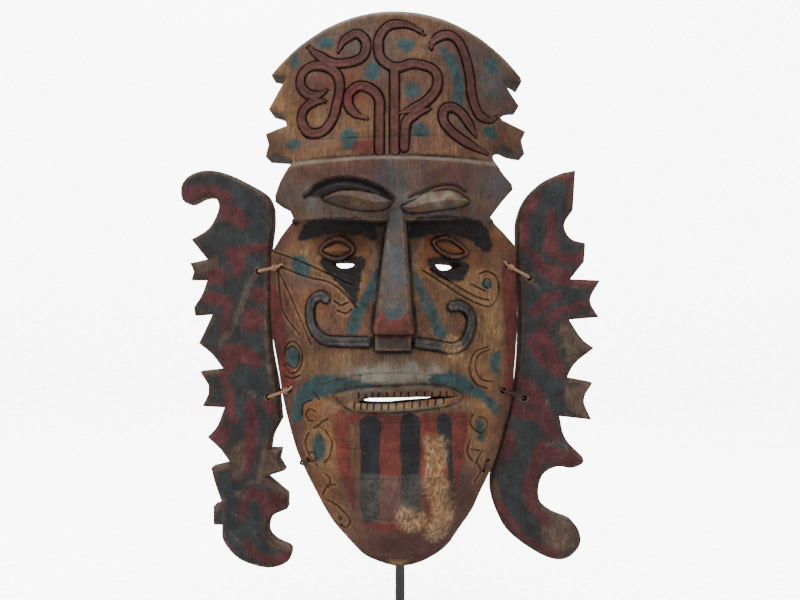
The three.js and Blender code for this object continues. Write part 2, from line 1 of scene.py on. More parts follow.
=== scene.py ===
"""Carved and painted wooden spirit mask with a scroll crown and two lashed side boards,
on a black steel rod stand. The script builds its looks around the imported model.

The carving is drawn as seen from the front, in millimetres: u to the right, v up from the
chin, and depth toward the viewer from the plane of the mask's rim.
"""

import math
from functools import partial

import bmesh
import bpy
import numpy as np
from mathutils import Matrix, Vector
from mathutils.geometry import delaunay_2d_cdt


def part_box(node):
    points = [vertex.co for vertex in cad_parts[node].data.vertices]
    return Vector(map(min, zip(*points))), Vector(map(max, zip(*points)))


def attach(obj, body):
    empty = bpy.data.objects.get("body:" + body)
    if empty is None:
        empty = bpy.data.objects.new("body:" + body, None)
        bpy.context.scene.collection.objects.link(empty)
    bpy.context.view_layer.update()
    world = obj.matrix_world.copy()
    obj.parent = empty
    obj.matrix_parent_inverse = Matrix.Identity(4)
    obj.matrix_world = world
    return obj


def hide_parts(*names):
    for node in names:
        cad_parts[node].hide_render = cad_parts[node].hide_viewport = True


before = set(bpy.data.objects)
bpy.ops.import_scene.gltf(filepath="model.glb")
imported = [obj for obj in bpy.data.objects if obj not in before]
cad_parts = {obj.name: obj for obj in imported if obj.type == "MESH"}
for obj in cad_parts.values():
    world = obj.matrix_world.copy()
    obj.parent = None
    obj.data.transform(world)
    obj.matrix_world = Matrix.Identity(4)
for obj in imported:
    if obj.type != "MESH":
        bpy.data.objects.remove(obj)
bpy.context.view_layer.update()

bl_info = {
    "name": "Painted spirit mask",
    "version": (1, 0, 0),
    "blender": (4, 5, 0),
    "location": "View3D > Sidebar > Mask",
    "description": "Builds a carved and painted mask with its side boards, lashings and stand",
    "category": "Add Mesh",
}

# Places

DRAWN_TOP = 429.0
MASK_LOW, MASK_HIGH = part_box("carved_mask")
MM = (MASK_HIGH[2] - MASK_LOW[2]) / DRAWN_TOP
RIM_Y = MASK_HIGH[1]
CHIN_Z = MASK_LOW[2]
REACH = 12.0                  # distances past this aren't told apart


def place(u, v, depth):
    """The model's coordinates, in metres, of a place in the drawing"""
    u, v, depth = np.broadcast_arrays(u, v, depth)
    return np.stack([u * MM, RIM_Y - depth * MM, CHIN_Z + v * MM], axis=-1)


# The mask's main surface, in rows of (v, value)

AXIS = -4.0
BROW_LINE = 267.5
LEDGE_LOW, LEDGE_HIGH = 311.0, 315.5
CROWN_BEVEL = 5.0
CROWN_WALL = 24.0
FACE_WALL = 13.0
EDGE_DEPTH = [(0, 20), (30, 24), (250, 20), (268, 22), (311, 26), (330, 24), (430, 22)]
HALF_WIDTH = [(0, 34), (20, 46), (50, 66), (100, 86), (140, 94), (200, 100), (430, 105)]
FACE_DEPTH = [
    (0, 27), (14, 40), (40, 51), (80, 60), (125, 64), (175, 64), (205, 59), (232, 52), (252, 49),
    (270, 50),
]
FOREHEAD_DEPTH = [(266, 66), (290, 69), (312, 70)]
CROWN_DEPTH = [(315, 63), (370, 60), (430, 51)]
HOLLOW_DEPTH = [
    (0, 30), (40, 39), (80, 47), (175, 51), (205, 46), (252, 36), (270, 38), (292, 50), (311, 50),
    (332, 38),
]
HOLLOW_HALF = [
    (0, 0), (12, 8), (20, 24), (36, 40), (60, 56), (90, 70), (130, 80), (170, 87), (245, 89),
    (262, 82), (275, 64), (290, 70), (312, 62), (330, 66), (345, 80),
]
# Outlines: (u, v) is a corner, (u, v, 1) lies on a round stretch
LEFT_SIDE = [
    (-1, 0, 1), (-14, 3, 1), (-32, 15, 1), (-51, 36, 1), (-72, 71, 1), (-88, 113, 1), (-98, 162, 1),
    (-103, 190, 1), (-104, 225, 1), (-103, 248), (-94, 260, 1), (-82, 273), (-86, 281), (-98, 287),
    (-98, 292), (-92, 303, 1), (-82, 316), (-92, 323), (-107, 324), (-104, 333), (-107, 342),
    (-88, 345), (-91, 354, 1), (-104, 361), (-98, 369, 1), (-88, 383), (-92, 386),
]
RIGHT_SIDE = [
    (96, 382), (88, 384), (80, 380), (86, 372, 1), (94, 363), (84, 360, 1), (76, 352), (80, 349),
    (100, 344), (96, 336), (99, 326), (88, 328, 1), (80, 331, 1), (72, 326), (71, 318),
    (78, 308, 1), (87, 300), (88, 296), (79, 286, 1), (69, 273), (80, 264, 1), (93, 252),
    (93, 218, 1), (93, 176, 1), (89, 132, 1), (82, 105, 1), (72, 74, 1), (56, 43, 1), (40, 18, 1),
    (24, 6, 1), (12, 1, 1),
]
LEFT_BOARD = [
    (-102.5, 284), (-106, 293, 1), (-113, 299, 1), (-138, 311.5, 1), (-156, 315, 1), (-170, 311, 1),
    (-177, 302, 1), (-176, 291, 1), (-169, 288, 1), (-158, 293, 1), (-149, 292, 1), (-147, 283, 1),
    (-155, 268, 1), (-169, 259), (-156, 243), (-170, 240), (-167, 233), (-169, 226), (-156, 226),
    (-160, 215, 1), (-167, 204), (-166, 197), (-152, 198), (-158, 185, 1), (-163, 175),
    (-152, 166, 1), (-143, 154), (-162, 152), (-155, 141), (-155, 134), (-160, 124), (-142, 123),
    (-148, 108, 1), (-156, 99), (-145, 89), (-137, 78), (-153, 74), (-150, 62, 1), (-144, 45),
    (-151, 43), (-151, 28), (-144, 28), (-143, 15, 1), (-131, 1, 1), (-113, -6, 1), (-100, -6, 1),
    (-90, -1, 1), (-88, 6, 1), (-90, 9), (-102, 15, 1), (-107, 23, 1), (-103, 35, 1), (-91, 41),
    (-91, 52), (-109, 67), (-93, 72), (-98, 80), (-96, 89), (-105, 89), (-103, 100, 1), (-96, 113),
    (-99, 142, 1), (-104.5, 174, 1), (-105.3, 210, 1), (-105.3, 248), (-102.5, 270, 1),
]
RIGHT_BOARD = [
    (142, 315), (129, 312, 1), (113, 304, 1), (101, 291, 1), (95, 275, 1), (94.4, 262, 1),
    (95, 240, 1), (96.5, 205, 1), (96, 170, 1), (92.5, 137, 1), (83, 101, 1), (75, 73, 1),
    (74, 53, 1), (83, 29, 1), (99, 13.5, 1), (119, 2, 1), (134, 0.5, 1), (144, 9, 1), (146, 19, 1),
    (140, 30, 1), (124, 37, 1), (114, 46, 1), (112, 57, 1), (116, 69, 1), (127, 75, 1),
    (139, 74, 1), (148, 78, 1), (148, 83), (134, 98, 1), (129, 116), (155, 113), (149, 129, 1),
    (156, 143), (135, 147), (142, 159, 1), (157, 171), (147, 179, 1), (137, 194), (161, 196),
    (154, 210, 1), (162, 226), (138, 227), (149, 241), (150, 256), (138, 260, 1), (133, 271, 1),
    (140, 283),
]
BOARD_FRONT = 17.0            # depth of the side boards' front face
BOARD_BACK = 2.0
BOARD_BEVEL = 2.5
# Ties: holes in the board and in the mask's edge, (u, v)
TIES = {
    "tie_upper_left": ((-114, 233), (-97, 236)),
    "tie_lower_left": ((-106, 132), (-87, 140)),
    "tie_upper_right": ((104, 228), (85, 237)),
    "tie_lower_right": ((100, 131), (81, 139)),
}
CHIN_LOOPS = {
    "chin_loop_left": ((-78.5, 82), (-71, 86)),
    "chin_loop_right": ((66, 76.5), (68.5, 84)),
}
TIE_HOLE = 5.2
WIRE_HOLE = 4.0
BACK_HOLE = 0.6               # width of a tie's hole behind, as a share of its front


def along(rows, v):
    """Smooth value between rows of (v, value)"""
    places, values = np.array(rows, float).T
    i = np.clip(np.searchsorted(places, v) - 1, 0, len(places) - 2)
    t = np.clip((v - places[i]) / (places[i + 1] - places[i]), 0, 1)
    return values[i] + (values[i + 1] - values[i]) * t * t * (3 - 2 * t)


def ramp(value, low, high):
    t = np.clip((value - low) / (high - low), 0, 1)
    return t * t * (3 - 2 * t)


def peak(value, middle, half):
    """1 at the middle, falling to 0 at half the width on either side"""
    return np.clip(1 - np.abs(value - middle) / half, 0, 1)


def brow_line(u):
    return BROW_LINE + 3.5 * ((u - AXIS) / 80) ** 2


def crown_top(u):
    return 429 - 41 * np.minimum(1, np.abs((u - AXIS) / 101)) ** 2.2


def arched(u, v, centre, edge):
    t = (u - AXIS) / along(HALF_WIDTH, v)
    return edge + (centre - edge) * (1 - t * t)


def main_front(u, v):
    """The surface before its ornaments: face, coved brows, forehead and crown"""
    edge = along(EDGE_DEPTH, v)
    brow = brow_line(u)
    cove = 8 * np.clip((v - brow + 13) / 12.5, 0, 1) ** 2 * ramp(82 - np.abs(u - AXIS), 0, 16)
    face = arched(u, v, along(FACE_DEPTH, v), edge) + cove
    forehead = arched(u, v, along(FOREHEAD_DEPTH, v), edge)
    depth = face + (forehead - face) * ramp(v, brow - 0.9, brow + 0.5)
    crown = arched(u, v, along(CROWN_DEPTH, v), edge)
    rise = np.clip((v - LEDGE_LOW) / (LEDGE_HIGH - LEDGE_LOW), 0, 1)
    depth = depth + (crown - depth) * rise
    return np.maximum(3, depth - np.clip(CROWN_BEVEL - (crown_top(u) - v), 0, CROWN_BEVEL))


def hollow_depth(u, v):
    """The hollow behind follows a smoother face, and the crown has one thickness"""
    crown = main_front(u, np.minimum(v, crown_top(u) - CROWN_BEVEL)) - CROWN_WALL
    inner = arched(u, v, along(HOLLOW_DEPTH, v) + 13, 12) - FACE_WALL
    return np.maximum(0, inner + (crown - inner) * np.clip((v - 305) / 25, 0, 1))


# Curves and distances

def outline(drawn, step):
    """Points around a closed shape, about one step apart"""
    count = len(drawn)
    at = [np.array(p[:2], float) for p in drawn]
    points = []
    for i in range(count):
        a, b = at[i], at[(i + 1) % count]
        round_a, round_b = len(drawn[i]) == 3, len(drawn[(i + 1) % count]) == 3
        before = at[i - 1] if round_a else a
        after = at[(i + 2) % count] if round_b else b
        slope_a = (b - before) * (0.5 if round_a else 1)
        slope_b = (after - a) * (0.5 if round_b else 1)
        steps = max(1, round(np.linalg.norm(b - a) / step))
        for t in np.arange(steps)[:, None] / steps:
            if round_a or round_b:
                h = t * t * (3 - 2 * t)
                bend = t * (1 - t) ** 2 * slope_a - t * t * (1 - t) * slope_b
                points.append(a + (b - a) * h + bend)
            else:
                points.append(a + (b - a) * t)
    return np.array(points)


def smooth_stretch(a, b, c, d, t):
    """A smooth line from b to c, led by the places before and after"""
    return 0.5 * (2 * b + (c - a) * t + (2 * a - 5 * b + 4 * c - d) * t * t
                  + (3 * b - a - 3 * c + d) * t ** 3)


def curve(points, step=1.0, closed=False):
    """A smooth line through the given places, with points about one step apart"""
    p = np.array(points, float)
    if len(p) < 3:
        steps = max(2, int(np.linalg.norm(p[-1] - p[0]) / step) + 1)
        return p[0] + (p[-1] - p[0]) * np.linspace(0, 1, steps)[:, None]
    if closed:
        p = np.vstack([p[-1:], p, p[:2]])
    else:
        p = np.vstack([2 * p[0] - p[1], p, 2 * p[-1] - p[-2]])
    out = []
    for a, b, c, d in zip(p, p[1:], p[2:], p[3:]):
        steps = max(1, round(np.linalg.norm(c - b) / step))
        t = (np.arange(steps) / steps)[:, None]
        out.append(smooth_stretch(a, b, c, d, t))
    if not closed:
        out.append(p[-2:-1])
    return np.vstack(out)


def ellipse(u, v, half_length, half_height, count=24):
    a = np.arange(count) * 2 * math.pi / count
    return np.stack([u + half_length * np.cos(a), v + half_height * np.sin(a)], axis=-1)


def hole(centre, diameter, count):
    return ellipse(*centre, diameter / 2, diameter / 2, count)


def distance(points, lines, reach=REACH):
    """Shortest distance from each point to any of the lines, up to the reach"""
    out = np.full(len(points), float(reach))
    for line in lines:
        line = np.asarray(line, float)
        for k in range(0, max(1, len(line) - 1), 10):
            part = line[k:k + 11]
            low, high = part.min(0) - reach, part.max(0) + reach
            near = np.flatnonzero(((points > low) & (points < high)).all(1))
            if not len(near):
                continue
            p = points[near][:, None]
            a, b = part[:-1][None], part[1:][None]
            if len(part) == 1:
                a = b = part[None]
            ab = b - a
            t = np.clip(((p - a) * ab).sum(-1) / np.maximum((ab * ab).sum(-1), 1e-9), 0, 1)
            gap = np.sqrt(((a + ab * t[..., None] - p) ** 2).sum(-1)).min(1)
            out[near] = np.minimum(out[near], gap)
    return out


def inside(points, loop):
    """Whether each point lies inside the closed loop"""
    result = np.zeros(len(points), bool)
    near = np.flatnonzero(((points > loop.min(0)) & (points < loop.max(0))).all(1))
    x, y = points[near].T
    odd = np.zeros(len(near), bool)
    for (x0, y0), (x1, y1) in zip(loop, np.roll(loop, -1, axis=0)):
        if y0 == y1:
            continue
        crosses = (y0 > y) != (y1 > y)
        odd ^= crosses & (x < x0 + (y - y0) * (x1 - x0) / (y1 - y0))
    result[near] = odd
    return result


def within(points, loops, reach=REACH):
    """Signed distance to the nearest closed loop's edge, below zero inside one"""
    loops = [np.asarray(loop, float) for loop in loops]
    out = distance(points, [np.vstack([loop, loop[:1]]) for loop in loops], reach)
    for loop in loops:
        held = inside(points, loop)
        out[held] = -np.abs(out[held])
    return out


def blobs(*shapes):
    """Closed smooth loops through lists of places"""
    return [curve(shape, 1.5, closed=True) for shape in shapes]


WAVE_COUNT = 9


def waves(points, size, seed):
    """Smooth irregular values between about -1 and 1, with bumps of the given size"""
    turn = np.random.default_rng(seed)
    total = np.zeros(len(points))
    for _ in range(WAVE_COUNT):
        angle, phase, stretch = turn.random(3) * (2 * math.pi, 2 * math.pi, 1)
        spin = 2 * math.pi / size * (0.6 + 0.9 * stretch)
        total += np.sin(points @ [math.cos(angle) * spin, math.sin(angle) * spin] + phase)
    return total / WAVE_COUNT ** 0.5 / 1.4


def facets(points, size, seed, stretch=1.6):
    """Shallow cuts of a carving knife: 0 at each cut's middle, 1 at the ridges between them"""
    p = points / (size, size * stretch)
    cell = np.floor(p)
    best = np.full(len(p), 9.0)
    for i in (-1, 0, 1):
        for j in (-1, 0, 1):
            c = cell + (i, j)
            a = np.sin(c @ [127.1, 311.7] + seed) * 43758.5453
            b = np.sin(c @ [269.5, 183.3] + seed) * 24634.6345
            middle = c + np.stack([a - np.floor(a), b - np.floor(b)], -1)
            best = np.minimum(best, ((p - middle) ** 2).sum(-1))
    return np.minimum(1, best)


# Ornaments of the mask, all in (u, v)

SCROLLS = [
    [(-70, 403), (-62, 395), (-52, 388), (-43, 386), (-33, 387), (-27, 391), (-25, 399), (-27, 405),
     (-32, 409), (-38, 407), (-43, 403), (-46, 396)],
    [(-55, 367), (-62, 364), (-70, 366), (-75, 372), (-76, 378), (-73, 384), (-66, 387), (-56, 385),
     (-48, 379), (-45, 372), (-45, 364), (-47, 355), (-50, 345), (-56, 337), (-64, 335), (-71, 338),
     (-75, 347), (-73, 354), (-66, 359), (-56, 359)],
    [(-24, 343), (-33, 347), (-38, 354), (-38, 362), (-32, 367), (-26, 367), (-19, 363), (-15, 356),
     (-15, 345), (-15, 318)],
    [(18, 408), (9, 414), (0, 416), (-9, 414), (-15, 406), (-16, 397), (-14, 388), (-7, 382), (0, 381),
     (9, 384), (18, 383), (25, 380), (28, 373), (26, 364), (18, 355), (9, 350), (0, 347)],
    [(-4, 379), (-4, 318)],
    [(22, 351), (13, 347), (6, 342), (4, 336), (3, 321)],
    [(23, 397), (25, 403), (31, 408), (38, 409), (44, 405), (48, 397), (51, 387), (53, 375), (54, 364),
     (57, 355), (61, 349), (69, 347), (74, 350)],
    [(66, 321), (55, 325), (45, 330), (37, 336), (32, 343), (33, 351), (39, 353), (45, 350), (51, 343),
     (57, 333)],
]
# How far each scroll runs out to a point at its start and its end
SCROLL_TAPERS = [(14, 12), (10, 10), (15, 0), (24, 12), (0, 0), (14, 0), (12, 14), (16, 10)]
# Cross sections of the carved lines: (distance from the middle, height)
SCROLL_PROFILE = [(0, 0.35), (1.2, 0.5), (2.2, 0.9), (2.9, 0.4), (3.4, -1.7), (3.7, -1.8),
                  (4.4, -0.2), (5.2, 0)]
SCROLL_HALF = 3.3
SCROLL_TIP = 0.3              # width left at a pointed end, as a share

FINE_GROOVES = [
    [(-103, 249), (-78, 240), (-53, 229), (-37, 221)],
    [(-94, 236), (-73, 228), (-53, 223), (-41, 214), (-32, 204)],
    [(-49, 209), (-44, 206), (-39, 208)],
    [(-47, 202), (-40, 200), (-36, 203)],
    [(-97, 234), (-86, 214), (-77, 196), (-67, 176)],
    [(-97, 234), (-92, 202), (-77, 183)],
    [(-88, 171), (-83, 174), (-78, 169), (-78, 162), (-82, 157), (-88, 160)],
    [(-90, 150), (-84, 149), (-77, 152)],
    [(-75, 121), (-74, 130), (-67, 134)],
    [(-65, 140), (-61, 135)],
    [(-62, 113), (-59, 118), (-54, 121)],
    [(-49, 70), (-55, 68), (-59, 61), (-59, 56), (-52, 54), (-46, 51), (-39, 44), (-38, 40), (-42, 35),
     (-46, 37)],
    [(-47, 44), (-45, 43), (-46, 41), (-48, 42)],
    [(17, 232), (30, 224), (45, 214), (57, 208), (69, 205), (76, 212), (77, 222), (74, 229), (67, 232),
     (61, 230)],
    [(23, 233), (34, 226), (47, 218), (59, 212), (68, 210)],
    [(54, 222), (65, 217)],
    [(67, 174), (57, 171), (53, 163), (53, 154), (58, 146), (67, 142)],
    [(69, 172), (61, 169), (57, 163), (58, 155), (63, 149), (71, 147)],
    [(55, 123), (53, 117), (57, 111), (63, 108), (67, 112), (66, 118), (60, 121)],
    [(55, 96), (62, 93), (58, 85)],
    [(-71, 92), (-66, 93), (-64, 88), (-69, 85), (-72, 88)],
    [(67, 219), (64, 222), (66, 226), (70, 225), (70, 220)],
    [(-91, 166), (-88, 175), (-82, 178), (-76, 172), (-75, 163), (-79, 155), (-86, 153), (-91, 159)],
    [(-64, 125), (-68, 127), (-72, 123), (-70, 118), (-66, 118)],
    [(-70, 108), (-73, 100), (-70, 90), (-64, 83)],
    [(-56, 112), (-51, 103), (-53, 92), (-57, 87)],
    [(-66, 112), (-62, 115), (-58, 112)],
    [(64, 94), (59, 86), (63, 77), (58, 68)],
    [(53, 104), (51, 95), (55, 87)],
    [(-58, 78), (-53, 74), (-55, 66)],
]
GROOVE_PROFILE = [(0, -1.3), (0.35, -1.15), (1.0, 0.12), (1.6, 0.12), (2.3, 0)]

FAINT_DEPTH, FAINT_HALF = 0.5, 0.9
FAINT_LINES = [
    [(-30, 121.5), (0, 121), (37, 121.5)],
    [(-44, 100), (-10, 99.5), (38, 100.5)],
    [(-40, 77), (0, 78.5), (40, 77)],
    [(-28, 48), (-5, 45), (14, 48)],
    [(-60, 146.5), (-30, 155), (0, 157), (32, 154)],
    [(-60, 330), (-20, 329), (30, 331)],
    [(-24, 225), (-23, 200)],
]

# Hollows over the brows: line, half width, depth
CRESCENTS = [
    ([(-71, 288), (-60, 294), (-50, 297), (-37, 297), (-25, 294), (-14, 289), (-6, 283)], 3.6, 3.4),
    ([(7, 284), (18, 289), (29, 293), (40, 294), (48, 290)], 2.0, 1.8),
]
# Brow leaves: lower edge, ridge, upper edge
BROW_LEAVES = [
    ([(-58, 285), (-53, 283), (-44, 279), (-32, 276), (-22, 275), (-11, 276), (-5, 281)],
     [(-58, 285), (-43, 286), (-32, 284), (-18, 280), (-5, 281)],
     [(-58, 285), (-47, 289), (-36, 289.5), (-21, 287), (-11, 283.5), (-5, 281)]),
    ([(1, 277), (4, 274), (14, 273.5), (29, 276), (44, 279), (52, 283)],
     [(1, 277), (9, 276.5), (22, 280), (36, 282.5), (52, 283)],
     [(1, 277), (11, 282), (18, 287), (29, 289), (36, 290), (44, 288), (52, 283)]),
]
EYES = [
    {"lid": [(-62.5, 247.5), (-56, 255), (-48, 258.5), (-40, 256), (-33.5, 248), (-40, 241.5),
             (-48, 239), (-56, 241.5)],
     "ball": [(-59, 247.6), (-53, 252.3), (-47.5, 253.8), (-42, 252), (-37, 247.6), (-42, 244),
              (-48, 242.6), (-54, 244.2)],
     "ridge": [(-59, 247.6), (-48, 247), (-37, 247.6)]},
    {"lid": [(23.5, 253.5), (29, 257.5), (36, 258.5), (45, 254), (53, 246), (47, 242), (39, 240.8),
             (30, 245)],
     "ball": [(27, 252.6), (32, 255), (37.5, 254.6), (44, 250.5), (48.6, 246.3), (44, 244.6),
              (38.5, 244.6), (32, 247.6)],
     "ridge": [(27, 252.6), (38, 249.6), (48.6, 246.3)]},
]
# Sight holes: the front edge, and how the back edge is scaled and moved against it
PEEPHOLES = [
    {"front": [(-52, 239), (-44, 239.6), (-35.3, 239), (-34.6, 236), (-39.8, 233), (-47.5, 233)],
     "grow": (0.78, 0.5), "shift": (0.3, 0.2)},
    {"front": [(26.5, 239), (36, 239.2), (45, 238.3), (47, 235.5), (40, 232.6), (30, 232.8)],
     "grow": (0.6, 0.6), "shift": (-3.0, -0.9)},
]
MOUTH_SLIT = [(-31, 135.8), (-27, 137.6), (-23, 138.9), (0, 139.4), (18, 139.8), (36, 139.2), (43, 139.4),
              (36, 138.2), (18, 137.5), (9, 136.7), (0, 135.5), (-11, 135.1), (-22, 135), (-29, 135.2)]
MOUTH_BACK = ((0.7, 0.62), (-7.4, -2.2))   # how the slit's back edge is scaled and moved
UPPER_LIP = [(-50, 139.2), (-46, 142), (-36, 144.6), (-29, 146), (-14, 147.2), (0, 148), (14, 148.7),
             (29, 147), (36, 145.4), (45, 141), (48, 139.4)]
LOWER_LIP = [(48, 139.4), (43, 134), (32, 131), (20, 129.8), (0, 128.4), (-22, 127.6), (-35, 128.6),
             (-42, 132), (-50, 139.2)]
UPPER_TEETH = [-30, -25, -20, -15.5, -9.6, -4.4, 0.5, 5.8, 11.7, 17.5, 23, 29, 34]
TICK_DEPTH, TICK_HALF = 1.6, 0.75
LOWER_TEETH = [-33, -28, -23.6, -18.7, -13, -8, -2.6, 3.2, 9, 14.6, 20.3, 26, 32]
MOUSTACHES = [
    [(-56, 211), (-60, 213), (-65, 211), (-68, 206), (-68.5, 197), (-66, 189), (-61, 183), (-54, 179.5),
     (-41, 179), (-24, 179)],
    [(13, 178.5), (29, 176), (38, 174), (47, 177), (52, 185), (54, 195), (51, 202), (45, 205.5),
     (39, 205)],
]
MOUSTACHE_PROFILE = [(0, 2.1), (0.7, 2.5), (1.5, 2.9), (2.6, 2.6), (3.2, 0.5), (3.9, -0.8), (4.8, 0)]

# Nose: v, left side, right side, depth of its flat front
NOSE = [(185, -18, 9, 87), (189, -18, 9, 90), (196, -17, 8, 88), (212, -15, 7, 82), (240, -12, 5, 74),
        (266, -9, 4, 68.5), (279, -8, 3, 66)]
NOSE_LOW = 185.0
# Block under the nose: left, right, low, high, depth
NOSE_BLOCK = (-17.5, 7.5, 174.0, 185.5, 74.0)
NOSE_LEVELS = (186.4, 185.9, 185.4, 174.0, 173.4, 175.2)   # where the nose and its block end


def profile(rows, gap):
    places, heights = np.array(rows, float).T
    return np.interp(gap, places, heights)


def side_rows(line, *offsets):
    """Copies of a line, moved sideways"""
    line = np.asarray(line, float)
    way = np.gradient(line, axis=0)
    way /= np.maximum(np.linalg.norm(way, axis=1), 1e-9)[:, None]
    across = np.stack([-way[:, 1], way[:, 0]], -1)
    return [line + across * offset for offset in offsets]


def both(*offsets):
    return [0.0] + [s * o for o in offsets for s in (1, -1)]


def slit_ticks():
    """The short cuts between the teeth"""
    ticks = []
    for u in UPPER_TEETH:
        low = 139.6 if u > -22 else 138.4
        ticks.append(np.array([(u, low), (u + 0.3, low + 3.4)]))
    for u in LOWER_TEETH:
        top = np.interp(u, (-31, -22, 0, 18, 36), (135.3, 135.1, 135.6, 137.5, 138.4))
        ticks.append(np.array([(u, top), (u - 0.4, top - 4.2)]))
    return ticks


def nose_depth(u, v):
    v_rows, left, right, front = np.array(NOSE, float).T
    left, right, front = (np.interp(v, v_rows, row) for row in (left, right, front))
    inner = np.minimum(u - left, right - u)
    body = front - 3 + np.clip(inner, 0, 2) * 1.5 + np.minimum(inner, 0) * 13
    body = body - np.clip(NOSE_LOW + 1.5 - v, 0, None) * 14
    left, right, low, high, deep = NOSE_BLOCK
    inner = np.minimum(np.minimum(u - left, right - u), np.minimum(v - low, high + 3 - v))
    block = deep - 1.2 + np.clip(inner, 0, 1.2) + np.minimum(inner, 0) * 12
    fade = np.where((v > 280) | (v < 172), -99, 0)
    return np.maximum(body, block) + fade


def leaf_height(points, leaf):
    lower, ridge, upper = (curve(line, 1.0) for line in leaf)
    edge = np.vstack([lower, upper[::-1]])
    out = within(points, [edge])
    to_ridge = distance(points, [ridge])
    inner = np.clip(-out, 0, None)
    return np.where(out < 0, 0.8 + 4.6 * inner / (inner + to_ridge + 0.6), 0), out


def eye_height(points, eye):
    lid = within(points, blobs(eye["lid"]))
    ball = within(points, blobs(eye["ball"]))
    ring = np.minimum(-lid, ball)
    height = np.where(lid < 0, 0.9 + 3.6 * np.sqrt(np.clip(ring / 2.1, 0, 1)), 0)
    inner = np.clip(-ball, 0, None)
    to_ridge = distance(points, [curve(eye["ridge"])])
    roof = 0.9 + 4.0 * inner / (inner + to_ridge + 0.25)
    return np.where(ball < 0, roof, height), lid, ball


def scroll_lines(step):
    """Each scroll's line with its width along it, which falls where it runs out to a point"""
    for drawn, tapers in zip(SCROLLS, SCROLL_TAPERS):
        line = curve(drawn, step)
        run = np.arange(len(line)) * step
        width = np.ones(len(line))
        for travel, taper in zip((run, run[::-1]), tapers):
            if taper:
                width = np.minimum(width, SCROLL_TIP + (1 - SCROLL_TIP) * travel / taper)
        yield line, width


def scroll_gap(points):
    """Distance from the middle of the nearest scroll, in widths of it"""
    out = np.full(len(points), 50.0)
    for line, width in scroll_lines(0.4):
        near = np.flatnonzero(((points > line.min(0) - 7) & (points < line.max(0) + 7)).all(1))
        gaps = np.linalg.norm(points[near][:, None] - line[None], axis=-1) / width
        out[near] = np.minimum(out[near], gaps.min(1))
    return out


def mask_depth(points):
    """Depth of the carved front, and how deep each place lies in a carved line"""
    u, v = points.T
    depth = main_front(u, v)
    uneven = 1 + 0.25 * waves(points, 11, 5)
    on_crown = v > LEDGE_HIGH

    gap = scroll_gap(points)
    depth += profile(SCROLL_PROFILE, gap) * uneven * on_crown
    # The carved lines and hollows gathered in cuts are darkened in the material: dirt, and painted shade in
    # the cuts
    cuts = [np.clip(1.15 - np.abs(gap - 3.55) / 0.95, 0, 1) * on_crown]

    for line, half, deep in CRESCENTS:
        dip = peak(distance(points, [curve(line)]), 0, half) ** 0.7
        depth -= deep * dip
        cuts.append(0.6 * dip)
    for leaf in BROW_LEAVES:
        height, out = leaf_height(points, leaf)
        depth += height - peak(out, 0.5, 1.0)
        cuts.append(0.6 * peak(out, 0.4, 0.8))
    for eye in EYES:
        height, lid, ball = eye_height(points, eye)
        depth += height
        cuts += [peak(ball, 0, 0.9), 0.8 * peak(lid, 0, 1.2)]

    gap = distance(points, [curve(line) for line in MOUSTACHES])
    depth += profile(MOUSTACHE_PROFILE, gap) * uneven
    cuts += [0.6 * peak(gap, 0, 0.8), 0.7 * peak(gap, 3.8, 0.8)]

    lips = within(points, [curve(UPPER_LIP + LOWER_LIP[1:], 1.5)])
    slit = within(points, blobs(MOUTH_SLIT))
    swell = 5.2 * ramp(-lips, -0.2, 3.6) - 1.8 * ramp(1.8 - slit, 0, 1.8)
    depth += np.where(lips < 0.3, np.maximum(swell, 0), 0)
    gap = distance(points, slit_ticks(), 2.0)
    depth -= TICK_DEPTH * peak(gap, 0, TICK_HALF)
    cuts += [0.7 * peak(lips, 0.3, 0.9), peak(gap, 0, 0.8)]

    gap = distance(points, [curve(line) for line in FAINT_LINES], 2.0)
    depth -= FAINT_DEPTH * peak(gap, 0, FAINT_HALF)
    cuts.append(0.55 * peak(gap, 0, FAINT_HALF))

    gap = distance(points, [curve(line) for line in FINE_GROOVES])
    depth += profile(GROOVE_PROFILE, gap) * uneven
    cuts.append(0.72 * peak(gap, 0, 0.85))

    depth += 0.35 * waves(points, 26, 1) + 0.12 * waves(points, 7, 2) - 0.3 * facets(points, 9, 3.0)
    nose = nose_depth(u, v)
    on_nose = nose > depth
    depth = np.where(on_nose, nose - 0.15 * facets(points, 8, 7.0), depth)
    return depth, np.where(on_nose, 0, np.maximum.reduce(cuts))


